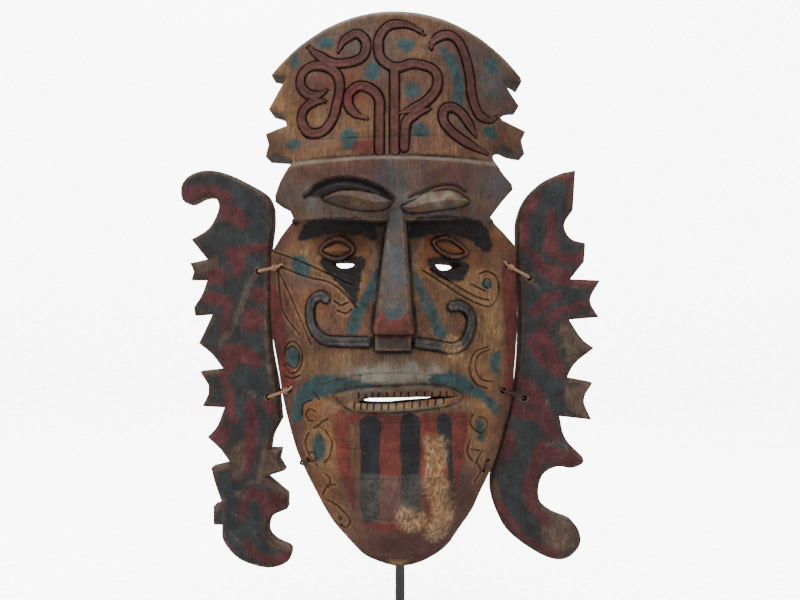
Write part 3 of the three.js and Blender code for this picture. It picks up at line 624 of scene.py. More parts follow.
def mask_rows():
    """Lines that the mesh follows, so that ridges and cuts come out crisp"""
    rows = []
    across = np.arange(-100, 96, 1.0)
    for offset in (-0.9, -0.2, 0.5, -3, -6, -9):
        rows.append(np.stack([across, brow_line(across) + offset], -1))
    for level in (LEDGE_LOW, LEDGE_HIGH):
        rows.append(np.stack([across, np.full(len(across), level)], -1))
    rows.append(np.stack([across, crown_top(across) - CROWN_BEVEL], -1))
    levels = np.arange(NOSE_LOW - 1, 281, 1.1)
    v_rows, left, right, _ = np.array(NOSE, float).T
    for side, way in ((left, 1), (right, -1)):
        edge = np.interp(levels, v_rows, side)
        rows += [np.stack([edge + way * o, levels], -1) for o in (2, 0, -0.55, -1.1, -1.7, -2.4)]
    width = np.arange(-18, 9.1, 0.9)
    for level in NOSE_LEVELS:
        rows.append(np.stack([width, np.full(len(width), level)], -1))
    for u in (NOSE_BLOCK[0], NOSE_BLOCK[1], NOSE_BLOCK[0] - 0.7, NOSE_BLOCK[1] + 0.7):
        levels = np.arange(173, 186, 0.9)
        rows.append(np.stack([np.full(len(levels), u), levels], -1))
    for eye in EYES:
        for name in ("lid", "ball"):
            loop = curve(eye[name], 0.8, closed=True)
            rows += side_rows(loop, 0, 0.7, -0.7)
        rows.append(curve(eye["ridge"], 0.8))
    rows += [line for tick in slit_ticks() for line in side_rows(curve(tick, 0.7), *both(0.75))]
    lips = curve(UPPER_LIP + LOWER_LIP[1:], 1.0)
    rows += side_rows(lips, 0, 1.0, -1.0)
    rows += side_rows(curve(MOUTH_SLIT, 1.0, closed=True), 1.2, -1.2)
    for line in FINE_GROOVES:
        rows += side_rows(curve(line, 0.9), *both(0.45, 1.1, 1.8))
    for leaf in BROW_LEAVES:
        rows += [side for line in leaf for side in side_rows(curve(line, 0.9), 0, 0.7, -0.7)]
    for line, half, _ in CRESCENTS:
        rows += side_rows(curve(line, 0.9), *both(half / 2, half))
    for line in MOUSTACHES:
        rows += side_rows(curve(line, 0.9), *both(0.7, 1.5, 2.4, 3.2, 3.9))
    for line, width in scroll_lines(0.9):
        tip = np.stack([np.cos(np.arange(0, 6.3, 0.5)), np.sin(np.arange(0, 6.3, 0.5))], -1)
        for offset in (2.1, 2.9, 3.6, 4.5):
            rows += [line + (side - line) * width[:, None] for side in side_rows(line, offset, -offset)]
            rows += [line[k] + tip * offset * width[k] for k in (0, -1)]
    return rows


OPEN_HALF = 130               # past the mask's sides, where the hollow is open behind the crown
OPEN_LOW, OPEN_HIGH = 345, 440
CHIN_RISE = 8                 # lift of the hollow's lowest rows


def hollow_rim():
    """The hollow's edge behind, open toward the crown's top"""
    right = [(AXIS + half, v + CHIN_RISE * (v < 20)) for v, half in HOLLOW_HALF if v < OPEN_LOW - 5]
    right += [(OPEN_HALF, OPEN_LOW), (OPEN_HALF, OPEN_HIGH)]
    left = [(2 * AXIS - u if u < OPEN_HALF else -OPEN_HALF, v) for u, v in right]
    return np.array(right + left[:0:-1], float)


def mask_back(points):
    u, v = points.T
    out = within(points, [hollow_rim()], 9.0)
    depth = hollow_depth(u, v) * ramp(-out, -0.3, 5.5)
    gouges = 1.1 * facets(points, 13, 11.0, 2.2) + 0.4 * waves(points, 9, 12)
    return np.maximum(0, depth - gouges * ramp(-out, 0, 5)) + 0.12 * (1 + waves(points, 30, 8))


# Meshes

def crowded(points, marks, size):
    """Whether each point has a mark closer than about the given size"""
    low = np.minimum(points.min(0), marks.min(0)) - 3 * size
    cell = size / 3
    shape = ((np.maximum(points.max(0), marks.max(0)) + 3 * size - low) / cell).astype(int) + 2
    taken = np.zeros(shape, bool)
    at = ((marks - low) / cell).astype(int)
    for i in range(-3, 4):
        for j in range(-3, 4):
            if i * i + j * j <= 9:
                taken[at[:, 0] + i, at[:, 1] + j] = True
    at = ((points - low) / cell).astype(int)
    return taken[at[:, 0], at[:, 1]]


ROW_STEP = 0.87               # rows of the grid, so that its triangles have even sides
JITTER = 0.3
ROW_CLEAR, ROW_CELL = 0.4, 0.5


def sheet(loops, rows, step, seed):
    """Points and triangles inside the first loop and outside the others. The loops' own points
    come first, in order."""
    low, high = loops[0].min(0), loops[0].max(0)
    edges = [np.vstack([loop, loop[:1]]) for loop in loops]
    across = np.arange(low[0], high[0], step)
    up = np.arange(low[1], high[1], step * ROW_STEP)
    grid = np.stack(np.meshgrid(across, up), -1)
    grid[1::2, :, 0] += step / 2
    moved = np.random.default_rng(seed).random((grid.size // 2, 2)) - 0.5
    grid = grid.reshape(-1, 2) + moved * step * JITTER

    def held(points, clear):
        points = points[inside(points, loops[0])]
        for loop in loops[1:]:
            points = points[~inside(points, loop)]
        return points[distance(points, edges, clear * 2) > clear]

    if rows:
        fine = held(np.vstack(rows), ROW_CLEAR)
        _, first = np.unique(np.floor(fine / ROW_CELL).astype(int), axis=0, return_index=True)
        fine = fine[np.sort(first)]
        grid = grid[~crowded(grid, fine, step * 0.7)]
    else:
        fine = np.zeros((0, 2))
    points = np.vstack([*loops, fine, held(grid, step * 0.5)])
    fences, start = [], 0
    for loop in loops:
        fences += [(start + k, start + (k + 1) % len(loop)) for k in range(len(loop))]
        start += len(loop)
    made = delaunay_2d_cdt([Vector(p) for p in points], fences, [], 1, 1e-5)
    origin = np.array([group[0] if group else -1 for group in made[3]])
    if (origin < 0).any() or len(origin) != len(points):
        raise RuntimeError(f"outline crosses itself: {len(points)} points, {len(origin)} made")
    faces = origin[np.array(made[2])]
    middle = points[faces].mean(1)
    keep = np.ones(len(faces), bool)
    for loop in loops[1:]:
        keep &= ~inside(middle, loop)
    faces = faces[keep]
    a, b, c = points[faces].transpose(1, 0, 2)
    turned = (b[:, 0] - a[:, 0]) * (c[:, 1] - a[:, 1]) < (b[:, 1] - a[:, 1]) * (c[:, 0] - a[:, 0])
    faces[turned] = faces[turned][:, ::-1]
    return points, faces


# The sides below the front, outside and in the holes: how much painted shade darkens them, and how fast
# paint gives out toward the back
SIDE_SHADE, HOLE_SHADE = 0.45, 0.95
SIDE_TRAVEL, HOLE_TRAVEL = 1, 0.1


def carve(name, loops, back_loops, rows, front, back, steps, seed, rings):
    """One closed piece: a carved front, a back, and sides between their outlines. front and back
    give the depth at places, and the front also gives its other facts by name. Returns the object."""
    seen, seen_faces = sheet(loops, rows, steps[0], seed)
    hidden, hidden_faces = sheet(back_loops, [], steps[1], seed + 1)
    depth, facts = front(seen)
    far = back(hidden)
    edge_count = sum(len(loop) for loop in loops)
    in_hole = np.arange(edge_count) >= len(loops[0])
    parts = [(seen, depth)]
    side_facts = {key: [] for key in facts}
    for k in range(1, rings):
        t = k / rings
        between = seen[:edge_count] * (1 - t) + hidden[:edge_count] * t
        drop = depth[:edge_count] * (1 - t) + far[:edge_count] * t
        parts.append((between, drop + 0.25 * waves(between, 9, 4)))
        travel = (depth[:edge_count] - far[:edge_count]) * t * np.where(in_hole, HOLE_TRAVEL, SIDE_TRAVEL)
        for key, values in facts.items():
            faded = values[:edge_count] * (1 - t)
            # Painted shade on the sides, and deeper in the holes
            if key == "cut":
                faded = np.maximum(faded, np.where(in_hole, HOLE_SHADE, SIDE_SHADE))
            side_facts[key].append(values[:edge_count] + travel if key in DISTANCES else faded)
    parts.append((hidden, far))
    starts = np.cumsum([0] + [len(points) for points, _ in parts])
    quads = []
    begin = 0
    for loop in loops:
        here = begin + np.arange(len(loop))
        after = begin + (np.arange(len(loop)) + 1) % len(loop)
        for k in range(rings):
            a, b = starts[k], starts[k + 1]
            quads.append(np.stack([here + a, after + a, after + b, here + b], -1))
        begin += len(loop)
    points = np.vstack([place(*p.T, d) for p, d in parts])
    faces = (seen_faces.tolist() + (hidden_faces[:, ::-1] + starts[-2]).tolist()
             + np.vstack(quads).tolist())
    far_count = len(hidden)
    values = {key: np.concatenate([facts[key], *side_facts[key],
                                   np.full(far_count, REACH if key in DISTANCES else 0.0)])
              for key in facts}
    raw = np.concatenate([np.zeros(len(seen)), np.ones(edge_count * (rings - 1) + far_count)])
    values["raw"] = raw
    return solid_object(name, points, faces, values)


SHARP_ANGLE = math.radians(42)


def store(mesh, name, values):
    """Keeps one number for each vertex, for the materials to read"""
    mesh.attributes.new(name, "FLOAT", "POINT").data.foreach_set("value", values.astype(np.float32))


def solid_object(name, points, faces, facts):
    mesh = bpy.data.meshes.new(name)
    mesh.from_pydata(points.tolist(), [], faces)
    outward(mesh)
    mesh.shade_smooth()
    mesh.set_sharp_from_angle(angle=SHARP_ANGLE)
    for key, values in facts.items():
        store(mesh, key, values)
    keep_ridges(mesh)
    made = bpy.data.objects.new(name, mesh)
    bpy.context.scene.collection.objects.link(made)
    return made


def outward(mesh):
    """Turns all faces outward"""
    work = bmesh.new()
    work.from_mesh(mesh)
    bmesh.ops.recalc_face_normals(work, faces=work.faces)
    work.to_mesh(mesh)
    work.free()
    mesh.update()


RIDGE_ROUNDS = 5


def keep_ridges(mesh):
    """Stores how far each vertex stands out of its smoothed surroundings, in millimetres"""
    count = len(mesh.vertices)
    points = np.empty(count * 3)
    normals = np.empty(count * 3)
    mesh.vertices.foreach_get("co", points)
    mesh.vertices.foreach_get("normal", normals)
    points, normals = points.reshape(-1, 3), normals.reshape(-1, 3)
    ends = np.empty(len(mesh.edges) * 2, int)
    mesh.edges.foreach_get("vertices", ends)
    a, b = ends.reshape(-1, 2).T
    links = np.bincount(np.concatenate([a, b]), minlength=count)
    soft = points.copy()
    for _ in range(RIDGE_ROUNDS):
        total = np.stack([np.bincount(a, soft[b, k], count) + np.bincount(b, soft[a, k], count)
                          for k in range(3)], -1)
        soft = 0.4 * soft + 0.6 * total / links[:, None]
    stand = ((points - soft) * normals).sum(1) / MM
    store(mesh, "ridge", np.clip(stand, -2, 2))


# Painted regions of the mask, in (u, v)

DISTANCES = ("teal", "black", "faded", "veil", "red", "pale", "mauve", "bare")

TEAL_SHAPES = [
    [(-17, 234), (-17, 217), (-28, 197), (-31, 186), (-38, 186), (-37, 199), (-28, 214)],
    [(11, 231), (18, 221), (25, 206), (31, 192), (34, 182), (27, 182), (22, 195), (13, 214)],
    [(-84, 116), (-83, 132), (-74, 145), (-60, 154), (-41, 153), (-18, 148), (-18, 147), (-29, 146),
     (-44, 143), (-56, 138), (-66, 134), (-74, 130), (-75, 119)],
    [(23, 154), (37, 157), (49, 153), (57, 146), (65, 140), (75, 131), (77, 122), (74, 121), (68, 127),
     (59, 136), (46, 141), (37, 146), (22, 148)],
    [(-84, 244), (-71, 242), (-70, 229), (-83, 232)],
    [(-88, 172), (-78, 172), (-78, 162), (-83, 157), (-88, 162)],
    [(77, 171), (70, 167), (69, 159), (73, 153), (77, 154)],
    [(58, 119), (64, 116), (65, 102), (59, 103)],
    [(-61, 110), (-56, 99), (-62, 86), (-68, 97)],
    [(-9, 203), (1, 203), (1, 197), (-9, 197)],
    [(30, 400), (41, 391), (47, 375), (46, 356), (40, 358), (40, 374), (33, 388)],
]
# Round spots: u, v, half width, half height
TEAL_SPOTS = [
    (-56, 404, 6, 5), (-81, 393, 4, 5), (-38, 329, 6, 8), (-82, 329, 6, 4), (-20, 378, 6, 7),
    (4, 399, 7, 5), (9, 364, 6, 6), (15, 334, 6, 6), (70, 389, 5, 6), (69, 337, 6, 5), (67, 222, 4.2, 4.2),
]
# The first two are the black brows in the cove under the forehead's ledge: black paint, and partly painted
# shade under the ledge
BLACK_SHAPES = [
    [(-73, 268), (-60, 271), (-40, 270.5), (-25, 269), (-18, 262), (-19, 255), (-28, 258), (-38, 259),
     (-53, 260), (-68, 257), (-79, 257)],
    [(9, 267), (18, 271), (37, 272), (54, 271), (67, 265), (72, 252), (67, 247), (59, 252), (50, 257),
     (34, 260), (23, 259), (8, 256)],
    [(-60, 242), (-57, 233), (-51, 226), (-41, 217), (-33, 207), (-30, 221), (-28, 232), (-28, 242)],
    [(23, 242), (24, 231), (34, 225), (42, 224), (49, 227), (51, 239)],
]
STRIPES = [
    [(-29, 122), (-15, 123), (-15, 100), (-15, 79), (-15, 60), (-17, 46), (-28, 45), (-29, 70), (-29, 100)],
    [(1, 123), (14, 123), (14, 85), (14, 47), (1, 48), (1, 85)],
    [(27, 123), (37, 123), (39, 98), (40, 78), (42, 55), (37, 50), (36, 83), (30, 100)],
]
VEIL_SHAPES = [[(-31, 80), (-8, 81), (17, 79), (18, 60), (17, 46), (-10, 43), (-32, 45), (-33, 62)]]
RED_SHAPES = [
    [(-27, 125), (0, 126), (24, 126), (50, 125), (50, 104), (47, 88), (44, 74), (39, 56), (31, 41),
     (0, 37), (-26, 40), (-29, 60), (-28, 90)],
    [(-49, 125), (-38, 126), (-37, 100), (-34, 70), (-29, 44), (-35, 50), (-43, 74), (-48, 98)],
    [(-48, 126), (0, 127), (50, 126), (50, 121), (0, 122), (-48, 121)],
    [(-18, 199), (-4, 202), (9, 199), (9, 184), (-4, 183), (-18, 184)],
    [(-108, 226), (-95, 214), (-91, 190), (-84, 160), (-82, 145), (-110, 130), (-112, 190)],
    [(82, 238), (81, 205), (82, 180), (84, 155), (82, 135), (100, 130), (104, 200), (104, 240)],
    [(-34, 325), (-20, 327), (-15, 320), (-24, 317), (-34, 319)],
    [(-46, 358), (-38, 368), (-28, 372), (-30, 362), (-38, 352)],
]
PALE_SHAPES = [
    [(18, 108), (27, 110), (34, 104), (34, 92), (30, 79), (24, 77), (18, 84), (20, 96)],
    [(18, 81), (28, 84), (36, 76), (40, 60), (41, 39), (31, 23), (19, 31), (24, 50), (20, 66)],
    [(36, 182), (43, 180), (47, 172), (44, 165), (37, 168), (33, 175)],
    [(-8, 8), (0, 9), (6, 5), (2, 0), (-6, 1)],
    [(0, 54), (16, 50), (18, 40), (8, 36), (-2, 44)],
]
# Dark paint and painted shadow in the carved hollow over the left brow leaf
CRESCENT_PAINT_AND_SHADE = [(-73, 288), (-62, 298), (-46, 301), (-28, 299), (-12, 292), (-4, 283), (-21, 287),
                  (-36, 289.5), (-47, 289), (-58, 285)]
# Soft stains by colour: u, v, half width, half height, strength
STAINS = {
    # Smoke stain, and painted shade under the brow ledge, round the nose's root and tip, under the nose and
    # the upper lip, and along the face's sides
    "soot": [
        (-20, 372, 62, 46, 0.2), (52, 372, 44, 44, 0.3), (0, 292, 100, 26, 0.2), (-42, 256, 30, 6, 0.75),
        (-48, 240, 20, 10, 0.4), (36, 240, 18, 10, 0.35), (38, 257, 30, 6, 0.5), (-18, 258, 6, 8, 0.6),
        (11, 258, 7, 8, 0.6), (-5, 190, 13, 9, 0.75), (-96, 186, 9, 50, 0.8), (88, 190, 8, 54, 0.6),
        (0, 144.5, 44, 3.0, 0.9), (0, 18, 34, 18, 0.2), (-40, 284, 16, 4, 0.5), (76, 338, 16, 14, 0.4),
        (-88, 330, 16, 12, 0.3), (-4, 268, 14, 10, 0.7), (0, 178, 26, 6, 0.5), (62, 246, 16, 14, 0.35),
        (-70, 260, 12, 8, 0.5), (-30, 60, 10, 20, 0.3), (-14, 225, 4, 40, 0.5), (-16, 195, 5, 14, 0.6),
        (7, 195, 5, 14, 0.6), (48, 60, 12, 30, 0.4), (-60, 300, 14, 10, 0.5), (50, 155, 16, 6, 0.25),
        (-64, 176, 16, 10, 0.35), (60, 190, 12, 16, 0.35),
    ],
    "dull": [
        (-62, 221, 11, 7, 0.8), (-54, 180, 12, 9, 0.9), (12, 366, 13, 13, 1.0), (0, 22, 50, 24, 1.0),
        (-36, 44, 10, 30, 0.8), (50, 70, 14, 40, 0.85), (-90, 244, 9, 24, 0.7), (86, 238, 8, 26, 0.7),
        (-80, 110, 7, 40, 0.6), (74, 110, 7, 40, 0.6), (-50, 303, 34, 10, 0.85), (40, 302, 50, 12, 0.95),
        (-14, 300, 20, 14, 0.7), (30, 398, 44, 18, 0.6), (20, 345, 44, 26, 0.55), (-56, 380, 30, 26, 0.6),
        (78, 360, 16, 16, 0.5), (-10, 325, 70, 10, 0.7), (-88, 262, 14, 14, 0.5), (58, 190, 18, 14, 0.5),
        (0, 30, 34, 16, 0.8), (54, 60, 14, 30, 0.7), (0, 128, 46, 4, 0.7), (-86, 196, 14, 40, 0.75),
        (-60, 186, 18, 12, 0.6), (-52, 202, 8, 8, 0.6), (78, 190, 8, 44, 0.6), (60, 276, 26, 8, 0.5),
        (-76, 250, 10, 8, 0.6), (46, 186, 16, 10, 0.5), (-34, 150, 20, 5, 0.4), (-66, 70, 10, 14, 0.4),
    ],
    "warm": [
        (-25, 240, 10, 24, 1), (-55, 262, 26, 8, 0.8), (-22, 222, 8, 20, 0.9), (16, 240, 9, 20, 1.2),
        (-40, 250, 24, 12, 0.8), (30, 250, 22, 12, 0.8), (46, 262, 22, 8, 0.7), (-67, 127, 8, 9, 1),
        (-40, 374, 16, 8, 0.6), (-70, 350, 10, 10, 0.5), (70, 255, 14, 10, 0.5), (-30, 355, 8, 14, 0.6),
        (-80, 300, 16, 10, 0.25), (0, 144, 44, 3, 0.4), (40, 243, 22, 12, 0.7), (-74, 209, 12, 18, 0.6),
        (-80, 280, 8, 10, 0.5), (-48, 248, 9, 4, 0.9), (38, 250, 9, 4, 0.9), (74, 284, 12, 8, 0.2),
        (60, 128, 10, 20, 0.4), (-60, 60, 8, 14, 0.5), (-46, 104, 4, 22, 0.6), (21, 66, 3, 30, 0.7),
        (44, 100, 4, 20, 0.4), (-8, 60, 4, 16, 0.5),
    ],
    "light": [
        (-76, 243, 12, 16, 0.8), (-20, 238, 3, 20, 0.9), (-31, 228, 5, 16, 0.7), (-96, 370, 9, 34, 0.75),
        (84, 404, 8, 10, 0.6), (72, 184, 10, 38, 0.9), (62, 180, 12, 40, 0.5), (-40, 330, 50, 14, 0.35),
        (-88, 345, 12, 14, 0.6), (10, 395, 10, 14, 0.5), (26, 345, 8, 26, 0.5), (-58, 345, 8, 10, 0.5),
        (-50, 165, 22, 14, 0.35), (50, 165, 16, 12, 0.5), (66, 126, 9, 22, 0.7), (-70, 192, 8, 22, 0.3),
        (0, 132, 44, 3.4, 1), (78, 168, 10, 14, 0.6), (-56, 104, 9, 22, 0.35), (-40, 36, 12, 18, 0.4),
        (80, 270, 12, 10, 0.3), (-54, 318, 40, 5, 0.5), (40, 318, 30, 4, 0.4), (12.5, 240, 3, 20, 0.9),
        (62, 104, 11, 26, 0.65), (-58, 98, 11, 28, 0.55), (46, 226, 10, 8, 0.5), (58, 222, 16, 10, 0.4),
        (-90, 345, 10, 12, 0.5), (0, 348, 10, 20, 0.25),
    ],
    "cool": [
        (-4, 292, 16, 20, 1), (-64, 284, 18, 12, 0.8), (-40, 272, 44, 5, 0.75), (44, 273, 40, 6, 0.85),
        (72, 378, 14, 24, 0.85), (-5, 240, 17, 42, 1.1), (-5, 207, 14, 12, 1.1), (74, 296, 18, 16, 0.9),
        (-84, 290, 16, 16, 0.7), (-5, 180, 14, 7, 0.9), (-4, 268, 12, 12, 1), (60, 395, 14, 8, 0.5),
        (-30, 400, 12, 12, 0.5), (-90, 286, 10, 10, 0.5), (-62, 332, 14, 6, 0.3), (-76, 226, 10, 9, 0.5),
        (-93, 336, 12, 6, 0.3), (-60, 410, 24, 8, 0.5), (-12, 388, 8, 14, 0.5), (50, 340, 20, 6, 0.3),
        (-78, 30, 20, 20, 0.3), (-40, 145, 30, 6, 0.3),
    ],
    "chalk": [
        (-12, 155, 26, 8, 1.5), (14, 156, 18, 8, 1.3), (0, 131.5, 42, 3, 0.8), (-4, 126, 44, 1.5, 0.5),
        (-5, 178, 12, 5, 0.15), (-44, 286, 12, 2.6, 0.1), (24, 284, 20, 4, 1.0), (-30, 283, 10, 2.4, 0.2),
        (0, 62, 16, 12, 0.3), (-66, 288, 5, 8, 0.4), (-55, 262, 3, 10, 0.3), (26, 60, 6, 20, 0.35),
    ],
}


FACE_TOP = 262                # the stained band along the face's edge ends here
EDGE_ROUND = 1.1              # how far the front falls at its edge


def stains(points, shapes, seed):
    """How strongly each place is stained"""
    total = np.zeros(len(points))
    moved = points + 3.5 * np.stack([waves(points, 16, seed), waves(points, 16, seed + 1)], -1)
    for u, v, width, height, strength in shapes:
        spread = ((moved - (u, v)) / (width, height)) ** 2
        total = np.maximum(total, strength * np.exp(-spread.sum(1) * 0.9))
    return total


def mask_front(edge_line, points):
    """Depth of the mask's front, and its paints, stains and cuts by name"""
    depth, cut = mask_depth(points)
    u, v = points.T
    spots = [ellipse(*spot) for spot in TEAL_SPOTS]
    lids = within(points, blobs(*[eye["lid"] for eye in EYES]))
    balls = within(points, blobs(*[eye["ball"] for eye in EYES]))
    brow_shade = within(points, [np.array(CRESCENT_PAINT_AND_SHADE, float)])
    moustache = distance(points, [curve(line) for line in MOUSTACHES])
    scroll = np.where(v > LEDGE_HIGH, scroll_gap(points) - SCROLL_HALF, REACH)
    facts = {
        "teal": within(points, blobs(*TEAL_SHAPES) + spots),
        "black": np.minimum(within(points, blobs(*BLACK_SHAPES)), brow_shade + 0.8),
        "faded": np.minimum(moustache - 3.9, within(points, blobs(*STRIPES))),
        "veil": np.minimum(moustache - 3.0, within(points, blobs(*VEIL_SHAPES))),
        "red": within(points, blobs(*RED_SHAPES)),
        "pale": within(points, blobs(*PALE_SHAPES)),
        "mauve": np.minimum(scroll, np.maximum(lids, -balls)),
        "cut": cut,
    }
    for seed, (name, shapes) in enumerate(STAINS.items()):
        facts[name] = stains(points, shapes, 21 + 2 * seed)
    # Pale grey along the crown's top bevel and on the ledge under the crown, both facing up: grey paint, and
    # partly a painted highlight
    bevel = ramp(CROWN_BEVEL + 1 - (crown_top(u) - v), -1, 1) * (v > 330)
    ledge = ramp(v, LEDGE_LOW - 0.5, LEDGE_LOW + 1) * ramp(LEDGE_HIGH + 0.5 - v, 0, 1)
    facts["chalk"] = np.maximum(facts["chalk"], np.maximum(0.5 * bevel, 0.45 * ledge))
    beside = distance(points, [curve(line) for line in FINE_GROOVES]) - 1.5
    facts["light"] = np.maximum(facts["light"], 0.9 * peak(beside, 0, 0.7))
    edge = distance(points, [edge_line], 4.0)
    facts["dull"] = np.maximum(facts["dull"], 0.8 * np.clip(1.2 - edge / 3.5, 0, 1) * (v < FACE_TOP))
    return depth - EDGE_ROUND * peak(edge, 0, 1.6) ** 2, facts


# Shader nodes

def rgb(red, green, blue):
    """A colour as seen on a screen, in 0 to 255, as the shader's own values"""
    return tuple((c / 255 / 12.92) if c < 10 else ((c / 255 + 0.055) / 1.055) ** 2.4
                 for c in (red, green, blue))


class Nodes:
    """Short calls that add and join shader nodes in one tree"""

    def __init__(self, tree):
        self.tree = tree

    def add(self, kind, values=None, **settings):
        node = self.tree.nodes.new(kind)
        for key, value in settings.items():
            setattr(node, key, value)
        for key, value in (values or {}).items():
            self.put(node.inputs[key], value)
        return node

    def put(self, socket, value):
        if isinstance(value, bpy.types.NodeSocket):
            self.tree.links.new(value, socket)
        elif socket.type == "RGBA" and len(value) == 3:
            socket.default_value = (*value, 1)
        else:
            socket.default_value = value

    def math(self, operation, a, b=0.0, c=0.0, clamp=False):
        node = self.add("ShaderNodeMath", {0: a, 1: b, 2: c}, operation=operation, use_clamp=clamp)
        return node.outputs[0]

    def times(self, a, b, clamp=False):
        return self.math("MULTIPLY", a, b, clamp=clamp)

    def span(self, value, low, high, out_low=0.0, out_high=1.0):
        node = self.add("ShaderNodeMapRange", {"Value": value, "From Min": low, "From Max": high,
                                               "To Min": out_low, "To Max": out_high},
                        interpolation_type="SMOOTHSTEP")
        return node.outputs["Result"]

    def blend(self, factor, a, b):
        node = self.add("ShaderNodeMix", data_type="RGBA")
        for index, value in ((0, factor), (6, a), (7, b)):
            self.put(node.inputs[index], value)
        return node.outputs[2]

    def toned(self, colour, amount):
        node = self.add("ShaderNodeVectorMath", {0: colour, "Scale": amount}, operation="SCALE")
        return node.outputs[0]

    def stretch(self, vector, scale):
        node = self.add("ShaderNodeVectorMath", {0: vector, 1: scale}, operation="MULTIPLY")
        return node.outputs[0]

    def noise(self, vector, scale, detail=4.0, roughness=0.55, distortion=0.0):
        node = self.add("ShaderNodeTexNoise", {"Vector": vector, "Scale": scale, "Detail": detail,
                                               "Roughness": roughness, "Distortion": distortion})
        return node.outputs["Fac"]

    def fact(self, name):
        return self.add("ShaderNodeAttribute", attribute_name=name).outputs["Fac"]

    def group(self, tree, values):
        node = self.add("ShaderNodeGroup", node_tree=tree)
        for key, value in values.items():
            self.put(node.inputs[key], value)
        return node.outputs


def new_group(name, numbers, outputs):
    """A shader node group that takes a place and named numbers, with their defaults"""
    tree = bpy.data.node_groups.new(name, "ShaderNodeTree")
    tree.interface.new_socket("Place", in_out="INPUT", socket_type="NodeSocketVector")
    for label, default in numbers.items():
        socket = tree.interface.new_socket(label, in_out="INPUT", socket_type="NodeSocketFloat")
        socket.default_value = default
    for label in outputs:
        tree.interface.new_socket(label, in_out="OUTPUT", socket_type="NodeSocketFloat")
    nodes = Nodes(tree)
    return nodes, nodes.add("NodeGroupInput").outputs, nodes.add("NodeGroupOutput").inputs


def wood_grain():
    """Fibres along the length, broad streaks, pores, patches, cracks and flecks, in millimetres"""
    nodes, given, out = new_group("Wood grain", {"Fibre": 0.07},
                                  ("Fibres", "Streaks", "Pores", "Patches", "Cracks", "Flecks"))
    tall = nodes.add("ShaderNodeCombineXYZ", {"X": 1.0, "Y": 1.0, "Z": given["Fibre"]}).outputs[0]
    along_grain = nodes.stretch(given["Place"], tall)
    nodes.put(out["Fibres"], nodes.span(nodes.noise(along_grain, 1.0, 7.0, 0.75, 0.8), 0.33, 0.67))
    nodes.put(out["Streaks"], nodes.span(nodes.noise(along_grain, 0.16, 5.0, 0.7, 0.6), 0.35, 0.65))
    pores = nodes.noise(nodes.stretch(given["Place"], (1, 1, 0.22)), 1.5, 3.0, 0.7)
    nodes.put(out["Pores"], nodes.span(pores, 0.58, 0.68))
    nodes.put(out["Patches"], nodes.span(nodes.noise(given["Place"], 0.05, 5.0, 0.62, 0.4), 0.35, 0.65))
    seam = nodes.math("ABSOLUTE", nodes.math("SUBTRACT", nodes.noise(along_grain, 0.11, 2.0, 0.5), 0.5))
    rare = nodes.span(nodes.noise(given["Place"], 0.02, 1.0), 0.52, 0.6)
    nodes.put(out["Cracks"], nodes.times(nodes.span(seam, 0.004, 0.0), rare))
    flecks = nodes.noise(nodes.stretch(given["Place"], (1, 1, 0.5)), 0.7, 8.0, 0.8)
    nodes.put(out["Flecks"], nodes.span(flecks, 0.6, 0.7))
    return nodes.tree


def worn_paint():
    """Where paint is left: Distance is below 0 inside the painted shape, in millimetres"""
    numbers = {"Distance": 0.0, "Ragged": 1.0, "Soft": 0.5, "Wear": 0.3, "Ridge": 0.0, "Seed": 0.0}
    nodes, given, out = new_group("Worn paint", numbers, ("Mask",))
    shift = nodes.add("ShaderNodeCombineXYZ", {axis: given["Seed"] for axis in "XYZ"})
    at = nodes.add("ShaderNodeVectorMath", {0: given["Place"], 1: shift.outputs[0]}, operation="ADD")
    at = at.outputs[0]
    wobble = nodes.math("SUBTRACT", nodes.noise(at, 0.22, 4.0, 0.65), 0.5)
    edge = nodes.math("MULTIPLY_ADD", wobble, nodes.times(given["Ragged"], 3.0),
                      given["Distance"])
    shape = nodes.span(edge, given["Soft"], nodes.times(given["Soft"], -1.0))
    chips = nodes.noise(nodes.stretch(at, (1, 1, 0.5)), 0.5, 8.0, 0.75, 0.2)
    level = nodes.math("MULTIPLY_ADD", given["Wear"], 0.42, 0.24)
    level = nodes.math("MULTIPLY_ADD", nodes.math("MINIMUM", given["Ridge"], 0.6), 0.1, level)
    kept = nodes.span(nodes.math("SUBTRACT", chips, level), -0.08, 0.07)
    nodes.put(out["Mask"], nodes.times(shape, kept))
    return nodes.tree


def edge_wear():
    """Rubbed light edges where the surface stands out"""
    nodes, given, out = new_group("Edge wear", {"Ridge": 0.0, "Amount": 1.0}, ("Mask",))
    patchy = nodes.math("SUBTRACT", nodes.noise(given["Place"], 0.18, 4.0, 0.7), 0.5)
    level = nodes.math("MULTIPLY_ADD", given["Ridge"], given["Amount"], nodes.times(patchy, 0.9))
    nodes.put(out["Mask"], nodes.span(level, 0.22, 0.9))
    return nodes.tree


def settled_dirt_and_shade():
    """Dark dirt, and painted shade, in cuts and low places"""
    nodes, given, out = new_group("Settled dirt", {"Ridge": 0.0, "Cut": 0.0, "Amount": 1.0}, ("Mask",))
    low = nodes.times(given["Ridge"], -1.6, clamp=True)
    deep = nodes.math("MAXIMUM", low, given["Cut"])
    patchy = nodes.span(nodes.noise(given["Place"], 0.12, 3.0, 0.6), 0.25, 0.65, 0.55, 1.0)
    nodes.put(out["Mask"], nodes.times(nodes.times(deep, patchy), given["Amount"], clamp=True))
    return nodes.tree


def settled_dust():
    """Pale dust on what faces up"""
    nodes, given, out = new_group("Settled dust", {"Up": 0.0, "Amount": 0.3}, ("Mask",))
    grains = nodes.span(nodes.noise(given["Place"], 0.5, 6.0, 0.75), 0.42, 0.66)
    up = nodes.span(given["Up"], 0.25, 0.95)
    nodes.put(out["Mask"], nodes.times(nodes.times(up, grains), given["Amount"]))
    return nodes.tree


EFFECTS = {}


